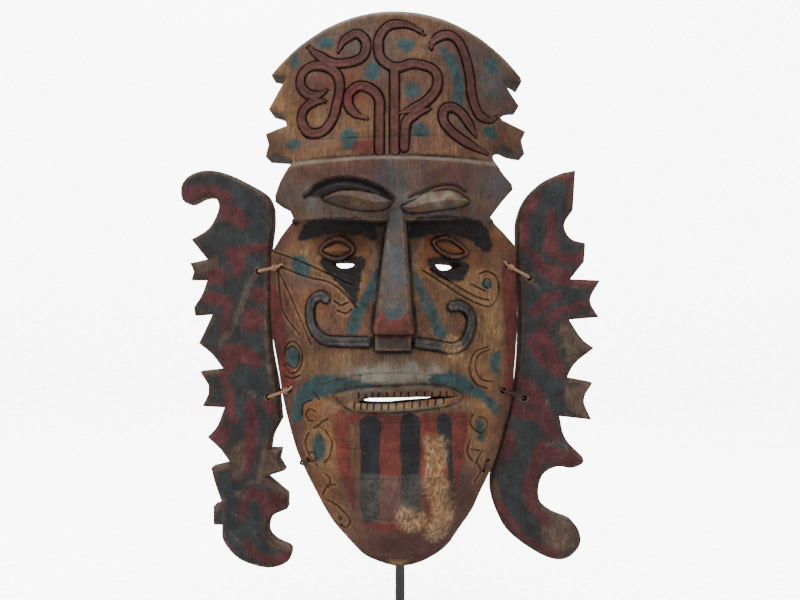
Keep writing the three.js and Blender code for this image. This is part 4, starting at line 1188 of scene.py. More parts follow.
def effect(name):
    """The shared node group of this name, made when it is first asked for"""
    makers = {"grain": wood_grain, "paint": worn_paint, "wear": edge_wear, "dirt": settled_dirt_and_shade,
              "dust": settled_dust}
    if name not in EFFECTS:
        EFFECTS[name] = makers[name]()
    return EFFECTS[name]


def new_material(name):
    material = bpy.data.materials.new(name)
    material.use_nodes = True
    material.node_tree.nodes.clear()
    nodes = Nodes(material.node_tree)
    shader = nodes.add("ShaderNodeBsdfPrincipled")
    output = nodes.add("ShaderNodeOutputMaterial")
    nodes.put(output.inputs["Surface"], shader.outputs[0])
    place_mm = nodes.stretch(nodes.add("ShaderNodeTexCoord").outputs["Object"], (1000, 1000, 1000))
    return material, nodes, shader, place_mm


BLOTCHES = ((0.07, "warm", 0.24), (0.045, "dull", 0.34))   # scale, colour, strength
# Marks over the paint: name, strength, colour
MARKS = (("Pores", 0.5, "dirt"), ("Cracks", 0.85, "dirt"), ("Flecks", 0.36, "rubbed"))
SPECULAR = 0.22


def facing_up(nodes):
    normal = nodes.add("ShaderNodeNewGeometry").outputs["Normal"]
    return nodes.add("ShaderNodeSeparateXYZ", {0: normal}).outputs["Z"]


def bumped(nodes, shader, *heights):
    """Joins (height, strength, distance in millimetres) to the shader's normal"""
    normal = None
    for height, strength, deep in heights:
        values = {"Height": height, "Strength": strength, "Distance": deep / 1000}
        if normal:
            values["Normal"] = normal
        normal = nodes.add("ShaderNodeBump", values).outputs[0]
    nodes.put(shader.inputs["Normal"], normal)


def painted_wood(name, colours, layers, stain_layers, wear, cut=False):
    """Old carved wood under thin worn paint. layers are (fact, colour, ragged, soft, wear, seed,
    cover) and stain_layers are (fact, colour). cut tells whether it has carved lines."""
    material, nodes, shader, at = new_material(name)
    grain = nodes.group(effect("grain"), {"Place": at})
    ridge = nodes.fact("ridge")
    raw = nodes.fact("raw")
    ground = nodes.blend(nodes.times(grain["Fibres"], 0.72), colours["brown"], colours["ochre"])
    ground = nodes.blend(nodes.times(grain["Streaks"], 0.5), ground, colours["brown"])
    for scale, tint, amount in BLOTCHES:
        blotch = nodes.span(nodes.noise(at, scale, 6.0, 0.68, 0.5), 0.44, 0.66, 0.0, amount)
        ground = nodes.blend(blotch, ground, colours[tint])
    for fact, colour in stain_layers:
        cloudy = nodes.span(nodes.noise(at, 0.13, 6.0, 0.7), 0.3, 0.6, 0.3, 1.0)
        if fact == "light":
            cloudy = nodes.times(cloudy, nodes.span(grain["Fibres"], 0.0, 1.0, 0.5, 1.0))
        ground = nodes.blend(nodes.times(nodes.fact(fact), cloudy, clamp=True), ground, colour)
    height = nodes.times(grain["Fibres"], 0.35)
    colour = ground
    thin = nodes.span(nodes.noise(at, 0.35, 5.0, 0.7), 0.3, 0.6, 0.62, 1.0)
    for fact, paint, ragged, soft, worn, seed, cover in layers:
        mask = nodes.group(effect("paint"), {"Place": at, "Distance": nodes.fact(fact), "Ragged": ragged,
                                             "Soft": soft, "Wear": worn, "Ridge": ridge,
                                             "Seed": seed})["Mask"]
        shade = nodes.span(nodes.noise(at, 0.09, 6.0, 0.72), 0.3, 0.7, 0.62, 1.35)
        tone = nodes.toned(paint, shade)
        covered = nodes.times(nodes.times(mask, thin), cover, clamp=True)
        colour = nodes.blend(covered, colour, tone)
        height = nodes.math("MULTIPLY_ADD", mask, 0.5, height)
    # Smoke stain and painted shade, laid again over the paint
    if cut:
        colour = nodes.blend(nodes.times(nodes.fact("soot"), 0.5), colour, colours["soot"])
    fibres = nodes.span(grain["Fibres"], 0.0, 1.0, 0.9, 1.12)
    speckle = nodes.span(nodes.noise(at, 1.1, 8.0, 0.8), 0.3, 0.7, 0.78, 1.22)
    colour = nodes.toned(colour, nodes.times(fibres, speckle))
    colour = nodes.blend(nodes.times(raw, 0.9), colour,
                         nodes.blend(grain["Fibres"], colours["raw_dark"], colours["raw"]))
    colour = nodes.blend(nodes.times(grain["Patches"], 0.3), colour, colours["dirt"])
    # Dirt and painted shade darken the cuts, the low places, the sides and the holes
    dirt = nodes.group(effect("dirt"), {"Place": at, "Ridge": ridge,
                                        "Amount": nodes.span(raw, 0.0, 1.0, 0.95, 0.5),
                                        "Cut": nodes.fact("cut") if cut else 0.0})["Mask"]
    colour = nodes.blend(dirt, colour, colours["dirt"])
    for mark, amount, tint in MARKS:
        colour = nodes.blend(nodes.times(grain[mark], amount), colour, colours[tint])
    rubbed = nodes.group(effect("wear"), {"Place": at, "Ridge": ridge, "Amount": wear})["Mask"]
    colour = nodes.blend(nodes.times(rubbed, 0.34), colour, colours["rubbed"])
    dust = nodes.group(effect("dust"), {"Place": at, "Up": facing_up(nodes), "Amount": 0.3})["Mask"]
    colour = nodes.blend(dust, colour, colours["dust"])
    nodes.put(shader.inputs["Base Color"], colour)
    gloss = nodes.span(nodes.noise(at, 0.3, 4.0, 0.6), 0.3, 0.7, 0.6, 0.82)
    gloss = nodes.math("MULTIPLY_ADD", rubbed, -0.12, gloss)
    nodes.put(shader.inputs["Roughness"], gloss)
    shader.inputs["Specular IOR Level"].default_value = SPECULAR
    height = nodes.math("MULTIPLY_ADD", grain["Pores"], -0.4, height)
    height = nodes.math("MULTIPLY_ADD", grain["Cracks"], -2.0, height)
    bumped(nodes, shader, (height, 0.7, 0.35), (nodes.noise(at, 0.9, 6.0, 0.7), 0.35, 0.5))
    return material


# What a user may change

def colour_choice(label, about, red, green, blue):
    return bpy.props.FloatVectorProperty(name=label, description=about, size=3, subtype="COLOR",
                                         min=0, max=1, default=rgb(red, green, blue))


def length_choice(label, about, default, low, high):
    return bpy.props.FloatProperty(name=label, description=about, unit="LENGTH", default=default,
                                   min=low, max=high)


def power_choice(label, about, default):
    return bpy.props.FloatProperty(name=label, description=about, unit="POWER", default=default, min=0)


class MaskSizes(bpy.types.PropertyGroup):
    """How finely the carving is made"""
    carving_step: length_choice("Carving step", "Gap between points in front", 0.00115, 0.0008, 0.004)
    back_step: length_choice("Back step", "Gap between points behind", 0.0028, 0.0015, 0.008)
    board_step: length_choice("Board step", "Gap between points of the boards", 0.0018, 0.001, 0.006)


class PaintColours(bpy.types.PropertyGroup):
    """Paints, wood and painted shade of the mask and its boards"""
    ochre: colour_choice("Ochre", "Light wood of the face", 143, 107, 73)
    brown: colour_choice("Brown", "Dark wood of the face", 80, 58, 43)
    teal: colour_choice("Teal", "Blue-green paint", 46, 74, 76)
    red: colour_choice("Red", "Chin and nose paint", 112, 50, 45)
    # Black paint, and partly painted shade in the cove under the brow ledge
    black: colour_choice("Black", "Brows and tears", 30, 27, 28)
    faded: colour_choice("Faded black", "Worn grey-black paint", 43, 42, 45)
    veil: colour_choice("Grey veil", "Thin grey wash over the stripes", 104, 98, 90)
    pale: colour_choice("Pale", "Bare light patches", 192, 158, 116)
    mauve: colour_choice("Mauve", "Scroll bands and eyelids", 88, 48, 45)
    warm: colour_choice("Orange", "Warm stain round the eyes", 132, 74, 34)
    cool: colour_choice("Grey", "Cool grey bloom on nose and forehead", 76, 80, 81)
    dull: colour_choice("Plum", "Dull purple-red stain", 92, 58, 59)
    # Smoke stain, and painted shade in hollows and under overhangs
    soot: colour_choice("Soot", "Dark smoke stain", 40, 30, 25)
    light: colour_choice("Straw", "Rubbed light wood", 170, 130, 84)
    # Pale grey patches, and on the crown's bevel and ledge partly a painted highlight
    chalk: colour_choice("Chalk", "Pale grey patches and edges", 136, 130, 114)
    rubbed: colour_choice("Rubbed edges", "Wood that shows at worn edges", 138, 112, 86)
    raw: colour_choice("Raw wood", "Unpainted sides and back, light fibres", 100, 74, 54)
    raw_dark: colour_choice("Raw wood, dark", "Unpainted sides and back, dark fibres", 60, 44, 34)
    # Dirt, and painted shade in cuts and low places; also the colour of pores, cracks and dark patches
    dirt: colour_choice("Dirt", "Dirt in the cuts", 18, 13, 11)
    dust: colour_choice("Dust", "Dust on upper faces", 124, 120, 112)
    board_brown: colour_choice("Board brown", "Ground of the side boards", 78, 60, 52)
    board_teal: colour_choice("Board grey-teal", "Dark bands of the side boards", 43, 55, 57)
    board_red: colour_choice("Board red", "Red bands of the side boards", 100, 42, 45)
    board_bare: colour_choice("Board bare wood", "Rubbed places of the side boards", 112, 94, 78)


class StandChoices(bpy.types.PropertyGroup):
    """The steel stand and the lashings"""
    edge_round: length_choice("Edge rounding", "Radius of the foot's edges", 0.0012, 0.0002, 0.003)
    steel: colour_choice("Steel", "Black paint of the stand", 30, 30, 32)
    cane: colour_choice("Cane", "Rattan lashings", 186, 140, 104)
    wire: colour_choice("Wire", "Dark twisted wire", 80, 58, 44)


class StageChoices(bpy.types.PropertyGroup):
    """Camera, light and backdrop"""
    key_power: power_choice("Main light", "Power of the large light above", 36)
    fill_power: power_choice("Front light", "Power of the soft light in front", 6.5)
    back_power: power_choice("Back light", "Power of the light above the wall", 15)
    wall_distance: bpy.props.FloatProperty(
        name="Wall distance", description="Wall behind the mask", unit="LENGTH", default=1.1, min=0.3)
    glow: bpy.props.FloatProperty(
        name="Backdrop glow", description="How much brighter the camera sees the backdrop",
        default=10.0, min=0)
    wall: colour_choice("Wall", "Floor and wall", 240, 241, 243)


CHOICES = {"mask_sizes": MaskSizes, "mask_paints": PaintColours, "mask_stand": StandChoices,
           "mask_stage": StageChoices}


def paints(scene):
    """All paint colours by name"""
    group = scene.mask_paints
    return {key: tuple(getattr(group, key)) for key in group.bl_rna.properties.keys()
            if key not in ("rna_type", "name")}


def finish_piece(piece, slot, *nodes):
    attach(piece, "root")
    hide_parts(*nodes)


# Mask

CROWN_LEFT, CROWN_RIGHT = -103, 97
CROWN_ARC = 215.0             # length of the crown's top edge


def mask_outline(step):
    u = np.linspace(CROWN_LEFT, CROWN_RIGHT, round(CROWN_ARC / step))
    return outline(LEFT_SIDE + list(zip(u, crown_top(u))) + RIGHT_SIDE, step)


def held_in(loop, node):
    """The loop with nothing outside the box of this node of the frame"""
    low, high = (np.array([corner[0], corner[2] - CHIN_Z]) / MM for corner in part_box(node))
    return np.clip(loop, low, high)


def grown(loop, factor, shift=(0, 0)):
    loop = np.asarray(loop, float)
    return loop.mean(0) + (loop - loop.mean(0)) * factor + shift


class MASK_OT_carving(bpy.types.Operator):
    """Carve and paint the mask"""
    bl_idname = "mask.carving"
    bl_label = "Carve the mask"

    def execute(self, context):
        sizes = context.scene.mask_sizes
        step = sizes.carving_step * 1000
        edge = held_in(mask_outline(step), "carved_mask")
        front = partial(mask_front, np.vstack([edge, edge[:1]]))
        eyes = [curve(peephole["front"], 0.9, closed=True) for peephole in PEEPHOLES]
        slit = curve(MOUTH_SLIT, 1.0, closed=True)
        # The left loop's outer leg passes beside the mask
        legs = [CHIN_LOOPS["chin_loop_left"][1], *CHIN_LOOPS["chin_loop_right"]]
        holes = [hole(face, TIE_HOLE, 18) for _, face in TIES.values()]
        holes += [hole(leg, WIRE_HOLE, 14) for leg in legs]
        back = [grown(loop, peephole["grow"], peephole["shift"]) for loop, peephole in zip(eyes, PEEPHOLES)]
        back += [grown(slit, *MOUTH_BACK), *(grown(loop, BACK_HOLE) for loop in holes)]
        piece = carve("mask_carving", [edge, *eyes, slit, *holes], [edge, *back], mask_rows(),
                      front, mask_back, (step, sizes.back_step * 1000), 3, rings=6)
        colours = paints(context.scene)
        layers = [
            ("mauve", colours["mauve"], 0.5, 0.5, 0.1, 11.0, 0.9),
            ("red", colours["red"], 1.4, 1.2, 0.25, 23.0, 0.95),
            ("teal", colours["teal"], 2.4, 2.2, 0.25, 37.0, 1.05),
            ("black", colours["black"], 1.8, 1.3, 0.18, 51.0, 1.2),
            ("faded", colours["faded"], 0.8, 0.9, 0.1, 67.0, 1.3),
            ("veil", colours["veil"], 2.0, 1.6, 0.42, 75.0, 0.55),
            ("pale", colours["light"], 5.0, 4.0, 0.35, 91.0, 0.5),
            ("pale", colours["pale"], 5.0, 3.4, 0.66, 83.0, 1.0),
        ]
        stain_layers = [(name, colours[name]) for name in STAINS]
        material = painted_wood("painted carved wood", colours, layers, stain_layers, wear=0.42, cut=True)
        piece.data.materials.append(material)
        finish_piece(piece, "painted_wood", "carved_mask")
        return {"FINISHED"}


# Side boards: red paint, bare brown wood, and rubbed lines with half their width, in (u, v)

RED_PLACES = {
    "left": [
        [(-176, 299), (-161, 302), (-150, 303), (-142, 300), (-136, 294), (-136, 286), (-143, 290),
         (-151, 295), (-163, 295), (-173, 292)],
        [(-144, 287), (-134, 286), (-127, 281), (-122, 274), (-124, 267), (-132, 269), (-140, 273),
         (-145, 278)],
        [(-140, 253), (-129, 253), (-116, 256), (-105, 254), (-105, 248), (-117, 248), (-123, 245),
         (-126, 237), (-128, 229), (-132, 227), (-136, 236), (-139, 244)],
        [(-155, 232), (-144, 236), (-138, 230), (-143, 223), (-154, 224)],
        [(-162, 215), (-151, 217), (-140, 214), (-135, 208), (-136, 196), (-138, 183), (-143, 181),
         (-146, 190), (-143, 202), (-156, 208)],
        [(-122, 216), (-111, 220), (-107, 210), (-117, 207)],
        [(-126, 200), (-119, 204), (-110, 196), (-114, 185), (-124, 185), (-128, 192)],
        [(-144, 173), (-132, 175), (-121, 172), (-114, 165), (-110, 158), (-119, 156), (-129, 159),
         (-134, 154), (-138, 146), (-134, 134), (-132, 117), (-129, 113), (-136, 109), (-140, 121),
         (-142, 138), (-146, 150), (-145, 162)],
        [(-155, 100), (-143, 108), (-136, 105), (-139, 95), (-147, 92)],
        [(-124, 128), (-117, 130), (-114, 113), (-115, 97), (-118, 80), (-124, 70), (-126, 89),
         (-124, 109)],
        [(-111, 128), (-102, 128), (-99, 121), (-106, 117)],
        [(-126, 55), (-119, 59), (-111, 58), (-102, 55), (-93, 49), (-92, 43), (-101, 40), (-108, 32),
         (-112, 37), (-114, 47), (-121, 48), (-123, 37), (-126, 32), (-130, 43)],
        [(-125, 18), (-118, 11), (-108, 5), (-97, 5), (-91, 8), (-89, 2), (-100, -3), (-111, -2),
         (-121, 5), (-127, 11)],
    ],
    "right": [
        [(109, 297), (114, 295), (110, 286), (105, 278), (105, 265), (102, 250), (97, 253), (97, 270),
         (101, 284)],
        [(103, 251), (110, 249), (117, 241), (126, 237), (136, 233), (150, 228), (162, 226), (159, 220),
         (145, 220), (129, 221), (117, 227), (108, 237)],
        [(117, 279), (122, 283), (126, 273), (126, 265), (130, 250), (140, 247), (149, 249), (149, 240),
         (138, 238), (129, 240), (120, 245), (115, 253), (118, 262), (118, 270)],
        [(111, 210), (118, 216), (126, 217), (131, 213), (124, 209), (117, 201), (110, 196), (104, 200)],
        [(118, 196), (127, 204), (137, 206), (148, 209), (152, 206), (142, 201), (130, 198), (123, 191),
         (115, 187)],
        [(104, 179), (113, 187), (119, 186), (123, 178), (126, 170), (131, 162), (133, 151), (126, 148),
         (118, 154), (109, 162), (104, 170)],
        [(96, 147), (105, 146), (113, 137), (118, 126), (123, 115), (128, 104), (126, 96), (119, 98),
         (114, 110), (107, 122), (99, 134)],
        [(92, 129), (101, 124), (111, 121), (115, 110), (105, 113), (93, 117)],
        [(112, 97), (122, 92), (134, 88), (146, 84), (147, 79), (137, 76), (126, 77), (119, 82),
         (113, 72), (108, 62), (110, 45), (118, 35), (116, 30), (107, 36), (101, 45), (99, 63),
         (105, 80)],
        [(84, 97), (90, 105), (94, 94), (89, 84), (83, 79)],
        [(80, 50), (85, 43), (92, 33), (101, 22), (113, 13), (126, 8), (130, 2), (113, 6), (97, 18),
         (84, 32), (77, 43)],
        [(126, 311), (143, 315), (143, 305), (140, 286), (135, 285), (137, 302), (129, 305)],
    ],
}
BROWN_PLACES = {
    "left": [
        [(-157, 241), (-148, 245), (-148, 237), (-158, 232), (-166, 236)],
        [(-134, 92), (-124, 97), (-122, 85), (-126, 69), (-132, 64), (-137, 76)],
        [(-111, 89), (-99, 90), (-99, 80), (-94, 72), (-106, 69), (-114, 67)],
    ],
    "right": [
        [(116, 31), (126, 35), (135, 31), (143, 22), (141, 12), (130, 8), (121, 10), (114, 19)],
        [(75, 67), (79, 60), (81, 49), (82, 39), (77, 43), (74, 55)],
        [(96, 273), (100, 265), (99, 253), (96, 257), (95, 266)],
        [(129, 190), (140, 186), (151, 173), (155, 170), (143, 167), (138, 157), (134, 168)],
        [(134, 139), (145, 141), (155, 142), (148, 129), (155, 117), (142, 118), (134, 126)],
    ],
}
RUBBED_LINES = {
    "left": [
        (2.4, [(-116, 231), (-121, 223), (-125, 212), (-129, 202), (-132, 195), (-135, 186), (-140, 180)]),
        (1.2, [(-136, 186), (-143, 178), (-145, 173)]),
        (2.0, [(-121, 135), (-117, 133)]),
        (2.6, [(-131, 54), (-126, 51)]),
        (1.0, [(-129, 55), (-123, 62), (-114, 64), (-108, 69)]),
        (0.6, [(-138, 24), (-132, 17), (-126, 13)]),
        (0.6, [(-135, 38), (-128, 35)]),
        (0.5, [(-121, 27), (-115, 18)]),
        (1.6, [(-107, 244), (-107, 218), (-108, 186), (-106, 162), (-103, 142)]),
        (1.3, [(-143, 313), (-133, 309), (-121, 303), (-112, 295)]),
        (1.3, [(-169, 241), (-158, 241)]),
        (1.3, [(-161, 152), (-143, 154)]),
        (1.3, [(-152, 76), (-135, 80)]),
        (1.3, [(-103, 63), (-93, 55)]),
        (1.0, [(-142, 49), (-142, 33), (-142, 17), (-137, 9)]),
    ],
    "right": [
        (0.6, [(127, 183), (134, 187), (140, 183), (143, 177), (138, 173), (130, 174)]),
        (0.6, [(127, 170), (134, 172), (141, 170), (143, 165), (135, 162), (129, 164)]),
        (0.6, [(134, 136), (134, 142), (138, 145), (145, 144)]),
        (0.7, [(118, 92), (126, 95), (134, 92), (134, 87), (129, 83), (122, 84)]),
        (0.7, [(118, 129), (118, 125)]),
        (2.0, [(123, 27), (122, 17), (126, 11)]),
        (1.4, [(129, 31), (134, 22), (131, 13)]),
        (1.2, [(113, 45), (122, 36), (134, 33)]),
        (0.8, [(105, 224), (114, 220)]),
        (0.5, [(140, 220), (150, 220)]),
    ],
}


def board_faces(side, edge):
    """The front of a side board with its paints, and its back"""
    line = np.vstack([edge, edge[:1]])

    def front(points):
        gap = distance(points, [line])
        depth = BOARD_FRONT - 0.25 + 0.3 * waves(points, 40, 31) + 0.1 * waves(points, 8, 32)
        depth = depth - 0.2 * facets(points, 11, 5.0, 2.5) - BOARD_BEVEL * peak(gap, 0, BOARD_BEVEL)
        brown = within(points, blobs(*BROWN_PLACES[side]))
        red = np.maximum(within(points, blobs(*RED_PLACES[side])), 1 - gap)
        bare = np.full(len(points), REACH)
        for half, rubbed in RUBBED_LINES[side]:
            bare = np.minimum(bare, distance(points, [curve(rubbed)]) - half)
        facts = {"teal": np.maximum(3.5 - gap, 1.5 - brown), "red": red, "bare": bare,
                 "light": 0.6 * ramp(1.5 - brown, 0, 3)}
        return depth, facts

    def back(points):
        gap = distance(points, [line], 5.0)
        return BOARD_BACK + 0.3 + 0.2 * facets(points, 14, 9.0, 2.0) + 2.0 * peak(gap, 0, 2) ** 1.5

    return front, back


class MASK_OT_boards(bpy.types.Operator):
    """Cut and paint the two side boards"""
    bl_idname = "mask.boards"
    bl_label = "Make the side boards"

    def execute(self, context):
        step = context.scene.mask_sizes.board_step * 1000
        colours = paints(context.scene)
        board = {**colours, "ochre": colours["board_brown"], "brown": colours["raw_dark"],
                 "warm": colours["board_brown"]}
        layers = [
            ("teal", colours["board_teal"], 3.2, 2.2, 0.35, 5.0, 0.85),
            ("red", colours["board_red"], 3.4, 2.8, 0.32, 29.0, 0.75),
            ("bare", colours["board_bare"], 1.8, 1.6, 0.45, 47.0, 0.6),
        ]
        material = painted_wood("painted board", board, layers, [("light", colours["board_bare"])], wear=0.6)
        for seed, (side, drawn) in enumerate((("left", LEFT_BOARD), ("right", RIGHT_BOARD))):
            edge = held_in(outline(drawn, step), f"{side}_ear")
            ties = [TIES[f"tie_upper_{side}"][0], TIES[f"tie_lower_{side}"][0]]
            loops = [edge] + [hole(tie, TIE_HOLE, 18) for tie in ties]
            front, back = board_faces(side, edge)
            line = curve(edge[::3], step, closed=True)
            back_loops = [edge] + [grown(loop, BACK_HOLE) for loop in loops[1:]]
            piece = carve(f"side_board_{side}", loops, back_loops, side_rows(line, 1.0, 2.4, -1.0, -2.4),
                          front, back, (step, step * 1.6), 40 + seed, rings=4)
            piece.data.materials.append(material)
            finish_piece(piece, "board_wood", f"{side}_ear")
        return {"FINISHED"}


# Lashings

CANE_RADIUS = 1.25
WIRE_RADIUS = 1.0
LOOP_RADIUS = 0.95
TIE_LIFT = 0.5                # clearance between a lashing and the faces that it crosses
LOOP_LIFT = 1.3
LOOP_SAGS = {"chin_loop_left": 2.0, "chin_loop_right": 0.0}
TIE_CORNER = 2.4              # how far from its corners a lashing starts to turn
WIRE_TIE = "tie_lower_right"


def tube(path, radii, sides=10, closed=False, flat=1.0):
    """Points and faces of a tube along the path"""
    path = np.asarray(path, float)
    count = len(path)
    radii = np.broadcast_to(radii, (count,))
    way = (np.roll(path, -1, 0) - np.roll(path, 1, 0)) if closed else np.gradient(path, axis=0)
    way /= np.linalg.norm(way, axis=1)[:, None]
    normal = np.cross(way[0], (0.3, 0.2, 0.93))
    points = []
    for k in range(count):
        normal = normal - way[k] * (normal @ way[k])
        normal /= np.linalg.norm(normal)
        other = np.cross(way[k], normal)
        angles = np.arange(sides) * 2 * math.pi / sides
        ring = np.outer(np.cos(angles), normal) + np.outer(np.sin(angles), other) * flat
        points.append(path[k] + ring * radii[k])
    faces = []
    for k in range(count if closed else count - 1):
        for j in range(sides):
            a, b = k * sides, ((k + 1) % count) * sides
            faces.append((a + j, a + (j + 1) % sides, b + (j + 1) % sides, b + j))
    if not closed:
        faces += [tuple(range(sides))[::-1], tuple(range((count - 1) * sides, count * sides))]
    return np.vstack(points), faces


def joined(*shells):
    """One list of points and faces from several"""
    points, faces, start = [], [], 0
    for shell_points, shell_faces in shells:
        points.append(shell_points)
        faces += [tuple(i + start for i in face) for face in shell_faces]
        start += len(shell_points)
    return np.vstack(points), faces


def lashing_path(ends, fronts, lift, sag):
    """A loop through two places, over both faces, with rounded corners. It bows down in front and
    up behind by the sag."""
    (a_u, a_v), (b_u, b_v) = ends
    corners = [(a_u, a_v, -lift), (a_u, a_v, fronts[0] + lift), (b_u, b_v, fronts[1] + lift),
               (b_u, b_v, -lift)]
    corners = np.array(corners, float)
    path = []
    for k in range(4):
        before, here, after = corners[k - 1], corners[k], corners[(k + 1) % 4]
        start = here + (before - here) / np.linalg.norm(before - here) * TIE_CORNER
        end = here + (after - here) / np.linalg.norm(after - here) * TIE_CORNER
        for t in np.linspace(0, 1, 7):
            path.append((1 - t) ** 2 * start + 2 * t * (1 - t) * here + t * t * end)
        far = after + (here - after) / np.linalg.norm(here - after) * TIE_CORNER
        for t in np.linspace(0, 1, 10)[1:-1]:
            path.append(end + (far - end) * t)
    path = np.array(path)
    across = (path[:, :2] - ends[0]) @ (np.array(ends[1]) - ends[0])
    across = np.clip(across / np.sum((np.array(ends[1]) - ends[0]) ** 2.0), 0, 1)
    facing = np.where(path[:, 2] > np.mean(fronts) / 2, -1, 1)
    path[:, 1] += facing * sag * np.sin(across * math.pi)
    return path


def cane_material(name, colour, darkest, twisted):
    """Split cane, or wire twisted of several strands. darkest is the share of the colour in its dark
    places."""
    material, nodes, shader, at = new_material(name)
    dark = tuple(c * darkest for c in colour)
    if twisted:
        lay = nodes.add("ShaderNodeTexWave", {"Vector": at, "Scale": 0.42, "Distortion": 1.5, "Detail": 2.0},
                        wave_type="BANDS", bands_direction="DIAGONAL").outputs["Fac"]
    else:
        lay = nodes.noise(nodes.stretch(at, (0.25, 1, 1)), 2.2, 4.0, 0.6)
    stain = nodes.span(nodes.noise(at, 0.35, 4.0, 0.65), 0.35, 0.7)
    tone = nodes.blend(nodes.span(lay, 0.35, 0.65), dark, colour)
    tone = nodes.blend(nodes.times(stain, 0.5), tone, dark)
    nodes.put(shader.inputs["Base Color"], tone)
    nodes.put(shader.inputs["Roughness"], nodes.span(stain, 0.0, 1.0, 0.42, 0.7))
    bumped(nodes, shader, (lay, 0.8, 0.4 if twisted else 0.15))
    return material


class MASK_OT_lashings(bpy.types.Operator):
    """Tie the boards to the mask with cane and wire"""
    bl_idname = "mask.lashings"
    bl_label = "Make the lashings"

    def execute(self, context):
        stand = context.scene.mask_stand
        cane = cane_material("split cane", tuple(stand.cane), 0.35, False)
        wire = cane_material("dark twisted wire", tuple(stand.wire), 0.3, True)
        for name, (ear, face) in TIES.items():
            wired = name == WIRE_TIE
            front = mask_depth(np.array([face], float))[0][0]
            radius = WIRE_RADIUS if wired else CANE_RADIUS
            path = lashing_path((ear, face), (BOARD_FRONT, front), radius + TIE_LIFT, 0.0)
            uneven = radius * (1 + 0.12 * np.sin(np.arange(len(path)) * 0.7))
            shells = [tube(path, uneven, 10, closed=True, flat=0.8)]
            shells += self.knot(ear, face, front, radius, wired)
            points, faces = joined(*shells)
            piece = solid_object(f"lashing_{name[4:]}", place(*points.T), faces, {})
            piece.data.materials.append(wire if wired else cane)
            finish_piece(piece, "dark_wire" if wired else "rattan", name)
        for name, legs in CHIN_LOOPS.items():
            fronts = [mask_depth(np.array([leg], float))[0][0] for leg in legs]
            path = lashing_path(legs, fronts, LOOP_LIFT, LOOP_SAGS[name])
            points, faces = tube(path, LOOP_RADIUS, 8, closed=True)
            piece = solid_object(f"{name}_wire", place(*points.T), faces, {})
            piece.data.materials.append(wire)
            finish_piece(piece, "dark_wire", name)
        return {"FINISHED"}

    def knot(self, ear, face, front, radius, wired):
        """Short turns round the crossing, and a stub of the free end"""
        a, b = np.array([*ear, BOARD_FRONT + radius]), np.array([*face, front + radius])
        way = (b - a) / np.linalg.norm(b - a)
        shells = []
        turns = 3 if wired else 1.5
        middle = a + (b - a) * (0.5 if wired else 0.86)
        t = np.linspace(0, turns * 2 * math.pi, int(turns * 14))
        across = np.cross(way, (0, 0, 1))
        across /= np.linalg.norm(across)
        up = np.cross(way, across)
        coil = (middle + np.outer(t / (2 * math.pi) - turns / 2, way) * radius * 1.9
                + np.outer(np.cos(t), across) * radius * 1.5 + np.outer(np.sin(t), up) * radius * 1.5)
        shells.append(tube(coil, radius * 0.62, 8))
        stub = stub_line([b + way * 0.5, b + way * 3 + (0, 1.2, 0.6), b + way * 5 + (0, 1.0, -0.4)])
        shells.append(tube(stub, np.linspace(radius, radius * 0.55, len(stub)), 8))
        return shells


def stub_line(points):
    """A smooth line through places in space, with 8 points between neighbours"""
    p = np.array(points, float)
    p = np.vstack([2 * p[0] - p[1], p, 2 * p[-1] - p[-2]])
    t = np.linspace(0, 1, 8, endpoint=False)[:, None]
    return np.vstack([*(smooth_stretch(*four, t) for four in zip(p, p[1:], p[2:], p[3:])), p[-2:-1]])


# Stand

ROD_RADIUS = 4 * MM
STEEL_EDGE = 0.0006           # rounding of the rod's and the bar's edges
BAR_GAP = 0.3 * MM            # between the bar and the mask's rim
BAR_THICKNESS = 4 * MM
BAR_SINK = 1 * MM             # how far the rod reaches into the bar
BAR_LOW = 91
BAR_HEIGHT = 14
SCREW_PLACES = ((-75, 98), (72, 98))
SCREW_HEAD = 4
COLLAR_RADIUS = 0.0072
COLLAR_HEIGHT = 0.0016
COLLAR_BEVEL = 0.0006
COLLAR_SINK = 0.0004
COLLAR_GAP = 0.0003


def rounded_box(low, high, radius, segments=3):
    """A block with rounded edges, in metres"""
    work = bmesh.new()
    size = Vector(high) - Vector(low)
    middle = (Vector(high) + Vector(low)) / 2
    matrix = Matrix.Translation(middle) @ Matrix.Diagonal((*size, 1))
    bmesh.ops.create_cube(work, size=1, matrix=matrix)
    bmesh.ops.bevel(work, geom=work.edges[:], offset=radius, segments=segments, profile=0.5,
                    affect="EDGES", clamp_overlap=True)
    return take(work)


def turned(rows, sides=40):
    """A turned form about the Z axis, from rows of (radius, height), in metres"""
    work = bmesh.new()
    rings = []
    for radius, height in rows:
        angles = [k * 2 * math.pi / sides for k in range(sides)]
        rings.append([work.verts.new((radius * math.cos(a), radius * math.sin(a), height)) for a in angles])
    for a, b in zip(rings, rings[1:]):
        for j in range(sides):
            work.faces.new((a[j], a[(j + 1) % sides], b[(j + 1) % sides], b[j]))
    work.faces.new(rings[0][::-1])
    work.faces.new(rings[-1])
    return take(work)


def take(work):
    """Points and faces of a bmesh, which is then let go"""
    work.verts.index_update()
    points = np.array([v.co[:] for v in work.verts])
    faces = [tuple(v.index for v in face.verts) for face in work.faces]
    work.free()
    return points, faces


